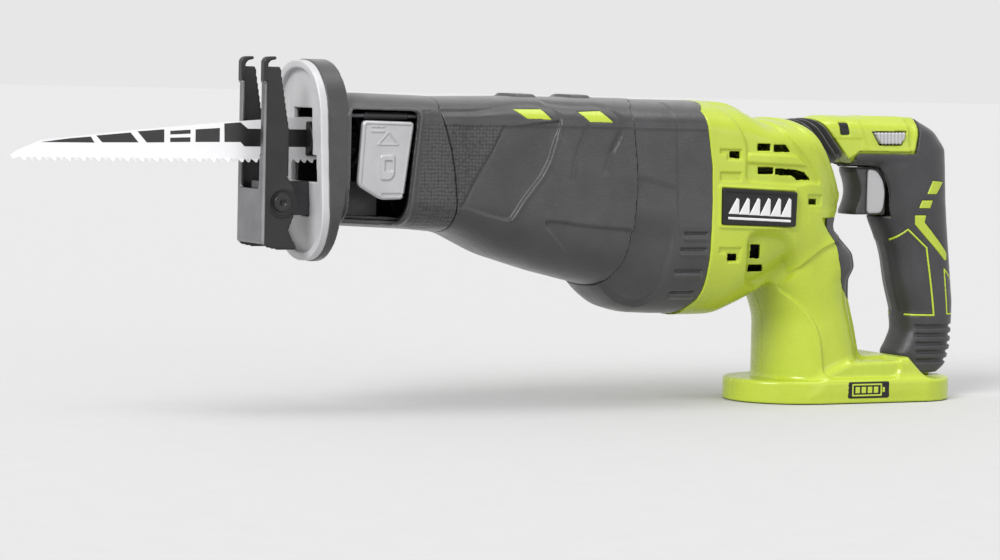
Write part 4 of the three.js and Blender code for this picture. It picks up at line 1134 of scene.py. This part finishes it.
def make_blade():
    """The blade body, its teeth set left and right in turn, and the print on both faces."""
    outlines = [(BLADE_BODY, None)]
    for i, x in enumerate(np.arange(-303, -125 - TOOTH_PITCH, TOOTH_PITCH)):
        top = TOOTH_LINE + TOOTH_DEPTH + 0.05
        tooth = [[x, top], [x + 0.95 * TOOTH_PITCH, top], [x + 0.75 * TOOTH_PITCH, TOOTH_LINE],
                 [x + 0.6 * TOOTH_PITCH, TOOTH_LINE]]
        lean_out = 0.35 * (i % 2 * 2 - 1)
        outlines.append((tooth, [0, 0, lean_out, lean_out]))
    fit(add_plates("saw_blade", outlines, -0.6, 0.6), "paint", "plunger", "blade")
    prints = [(outline, None) for outline in BLADE_PRINT.values()]
    for side, label in ((-1, "left"), (1, "right")):
        low, high = sorted((side * 0.58, side * 0.67))
        fit(add_plates(f"blade_print_{label}", prints, low, high), "ink", "plunger")


SHOE_SIDE = [[-168, 195.6], [-157.5, 195.6], [-156, 186], [-151.6, 160], [-151.8, 134], [-147.8, 128],
             [-147.8, 112], [-151, 104], [-145, 92.8], [-158, 92.5], [-165, 94], [-169, 97]]
HOOK = [[-168, 186], [-168, 198.6], [-166, 200.7], [-160.6, 201], [-160.6, 199.2], [-164, 198.6],
        [-165.6, 196.6], [-165.8, 186]]


def shoe_field(x, y, z):
    away = np.abs(y)
    corner = 3.2
    outer = np.hypot(np.maximum(away - 19 + corner, 0), np.maximum(-x - 168 + corner, 0)) - corner
    outer = np.maximum(outer, np.maximum(away - 19, -x - 168))
    channel = common(outer, -(outer + 2), region(SHOE_SIDE, x, z, 20))
    slot = block(x, y, z, (-175, -13.5, 127), (-160, 13.5, 230), 2.5)
    hooks = prism(soft(HOOK, 1), x, z, away, 13.5, 19, 0.6)
    out = off_axis(SHOE_PIVOT, x, z)
    emboss = 0.5 * step(np.abs(out - 7.6) - 0.6, 1)
    return common(either(common(channel - emboss * (away > 17), -slot), hooks), 3.3 - out)


def rivet_field(x, y, z):
    shank = bar(x, z, y, SHOE_PIVOT, 3, -20, 20)
    head = bar(x, z, np.abs(y), SHOE_PIVOT, 5.4, 19.3, 20.9, 0.9)
    dimple = np.hypot(off_axis(SHOE_PIVOT, x, z), np.abs(y) - 22.2) - 2.4
    return common(either(shank, head), -dimple)


def make_shoe():
    """The shoe is one bent steel part: dark flanges and hooks, and a bright front that is partly wear from
    the work and partly painted light on the lit front face.
    """
    def front(x, y, z):
        return common(shoe_field(x, y, z), x + 165.9, z - 187)

    def flanges(x, y, z):
        return common(shoe_field(x, y, z), -common(x + 165.9, z - 187))

    sculpt("shoe_flanges", flanges, (-169, -20, 92), (-144, 20, 202), 0.6, "oxide", "shoe", "shoe")
    # The front below the slot is painted bright: partly wear, partly painted light on the lit front face.
    sculpt("shoe_front", front, (-169, -20, 92), (-164, 20, 188), 0.5, "worn_and_painted_light", "shoe")
    sculpt("shoe_pivot_rivet", rivet_field, (-162, -22, 113), (-150, 22, 126), 0.4, "oxide", "housing",
           "shoe_rivet", slot="machined_steel")


def collar_field(x, y, z):
    """The twist sleeve: a fluted collar behind a plain nose that the blade enters through a slot."""
    out = np.hypot(y, z - PLUNGER_Z)
    flutes = 0.3 * np.cos(18 * np.arctan2(y, z - PLUNGER_Z)) * ease((np.abs(x + 105.5) - 2) / 1)
    sleeve = common(bar(y, z, x, (0, PLUNGER_Z), 12.3, -119, -92, 1) + 0.3 + flutes, 9.5 - out)
    nose = common(bar(y, z, x, (0, PLUNGER_Z), 9.9, -134.5, -117.5, 1.2), 0.9 - np.abs(y))
    funnel = out - 3 + (x + 135) * 0.6
    return either(sleeve, common(nose, -funnel), common(out - 11.5, 8.6 - out, np.abs(x + 118.5) - 1))


def clamp_body_field(x, y, z):
    return common(bar(y, z, x, (0, PLUNGER_Z), 9.2, -121, -79.3, 1),
                  -block(x, y, z, (-125, -0.9, 147.4), (-83, 0.9, 162.6), 0.2),
                  2.3 - np.hypot(x + 103, z - PLUNGER_Z))


def release_ring_field(x, y, z):
    loop = common(bar(y, z, x, (0, PLUNGER_Z), 16.5, -107, -91, 0.8), 13 - np.hypot(y, z - PLUNGER_Z))
    return either(loop, common(block(x, y, z, (-106, -21.5, 147), (-92, -15, 152), 0.6),
                               13 - np.hypot(y, z - PLUNGER_Z)))


def make_clamp():
    sculpt("clamp_sleeve", collar_field, (-135, -13, 142), (-91, 13, 168), 0.5, "oxide", "plunger",
           "clamp_collar")
    sculpt("clamp_core", clamp_body_field, (-122, -10, 145), (-78, 10, 165), 0.5, "steel", "plunger",
           "clamp_body", slot="dark_steel")
    sculpt("release_cam_ring", release_ring_field, (-108, -22, 138), (-90, 17, 172), 0.6, "oxide",
           "release_cam", "release_ring")


# --- screws and the pieces kept from the frame
def screw_field(place, head, tip):
    def field(x, y, z):
        radius = off_axis(place, x, z)
        angle = np.arctan2(z - place[1], x - place[0])
        thread = 0.22 * np.cos(2 * math.pi * y / 1.4 + angle) * ease((head - 6 - y) / 2)
        shank = bar(x, z, y, place, 1.6, tip, head - 1, 0.3) - thread + 0.2
        cap = bar(x, z, y, place, 3.2, head - 3, head, 0.7)
        star = common(radius - 1.5 - 0.35 * np.cos(6 * angle), head - 1.8 - y)
        return common(either(shank, cap), -star)
    return field


def make_screws():
    for owner, rows in SCREWS.items():
        for i, (x, z, _, head, tip) in enumerate(rows):
            sculpt(f"{owner}_screw_torx_{i + 1}", screw_field((x, z), head, tip), (x - 4, tip - 1, z - 4),
                   (x + 4, head + 1, z + 4), 0.35, "steel", owner, f"{owner}_screw_{i + 1}")


CARRIED = {
    "cast": ["gear_case", "gear_case_cover"],
    "steel": ["crank_pin", "crank_roller", "gear_bearing", "crown_gear", "yoke", "plunger_rod", "clamp_pin",
              "pinion", "motor_shaft", "front_bearing", "rear_bearing", "handle_pin",
              "trigger_spring"],
    "bronze": ["front_bush", "rear_bush"],
    "felt": ["felt_seal"],
    # lever_pin is dark steel, partly its own finish and partly painted shade for the shadow gap above the
    # release lever.
    "oxide": ["shoe_bracket", "lever_pin", "armature", "motor_can"],
    "brass": ["commutator", "contact_left", "contact_right"],
    "black": ["fan", "end_bell", "motor_bulkhead", "terminal_block", "switch_module"],
}


def finish_carried_nodes():
    """The pieces inside stay as the frame has them, and get procedural materials."""
    for material, names in CARRIED.items():
        for name in names:
            paint(frame["nodes"][name], material)


MATERIALS = {}

add_camera()
MATERIALS.update(make_materials())
add_studio()
make_nose()
make_body()
make_housing()
make_handle()
make_trim()
sculpt("knuckle_guard", knuckle_pad_field, (195, -40, 60), (232, 40, 113), FINE, "grip", "housing",
       "knuckle_pad")
make_bellows()
make_blade()
make_shoe()
make_clamp()
make_screws()
finish_carried_nodes()
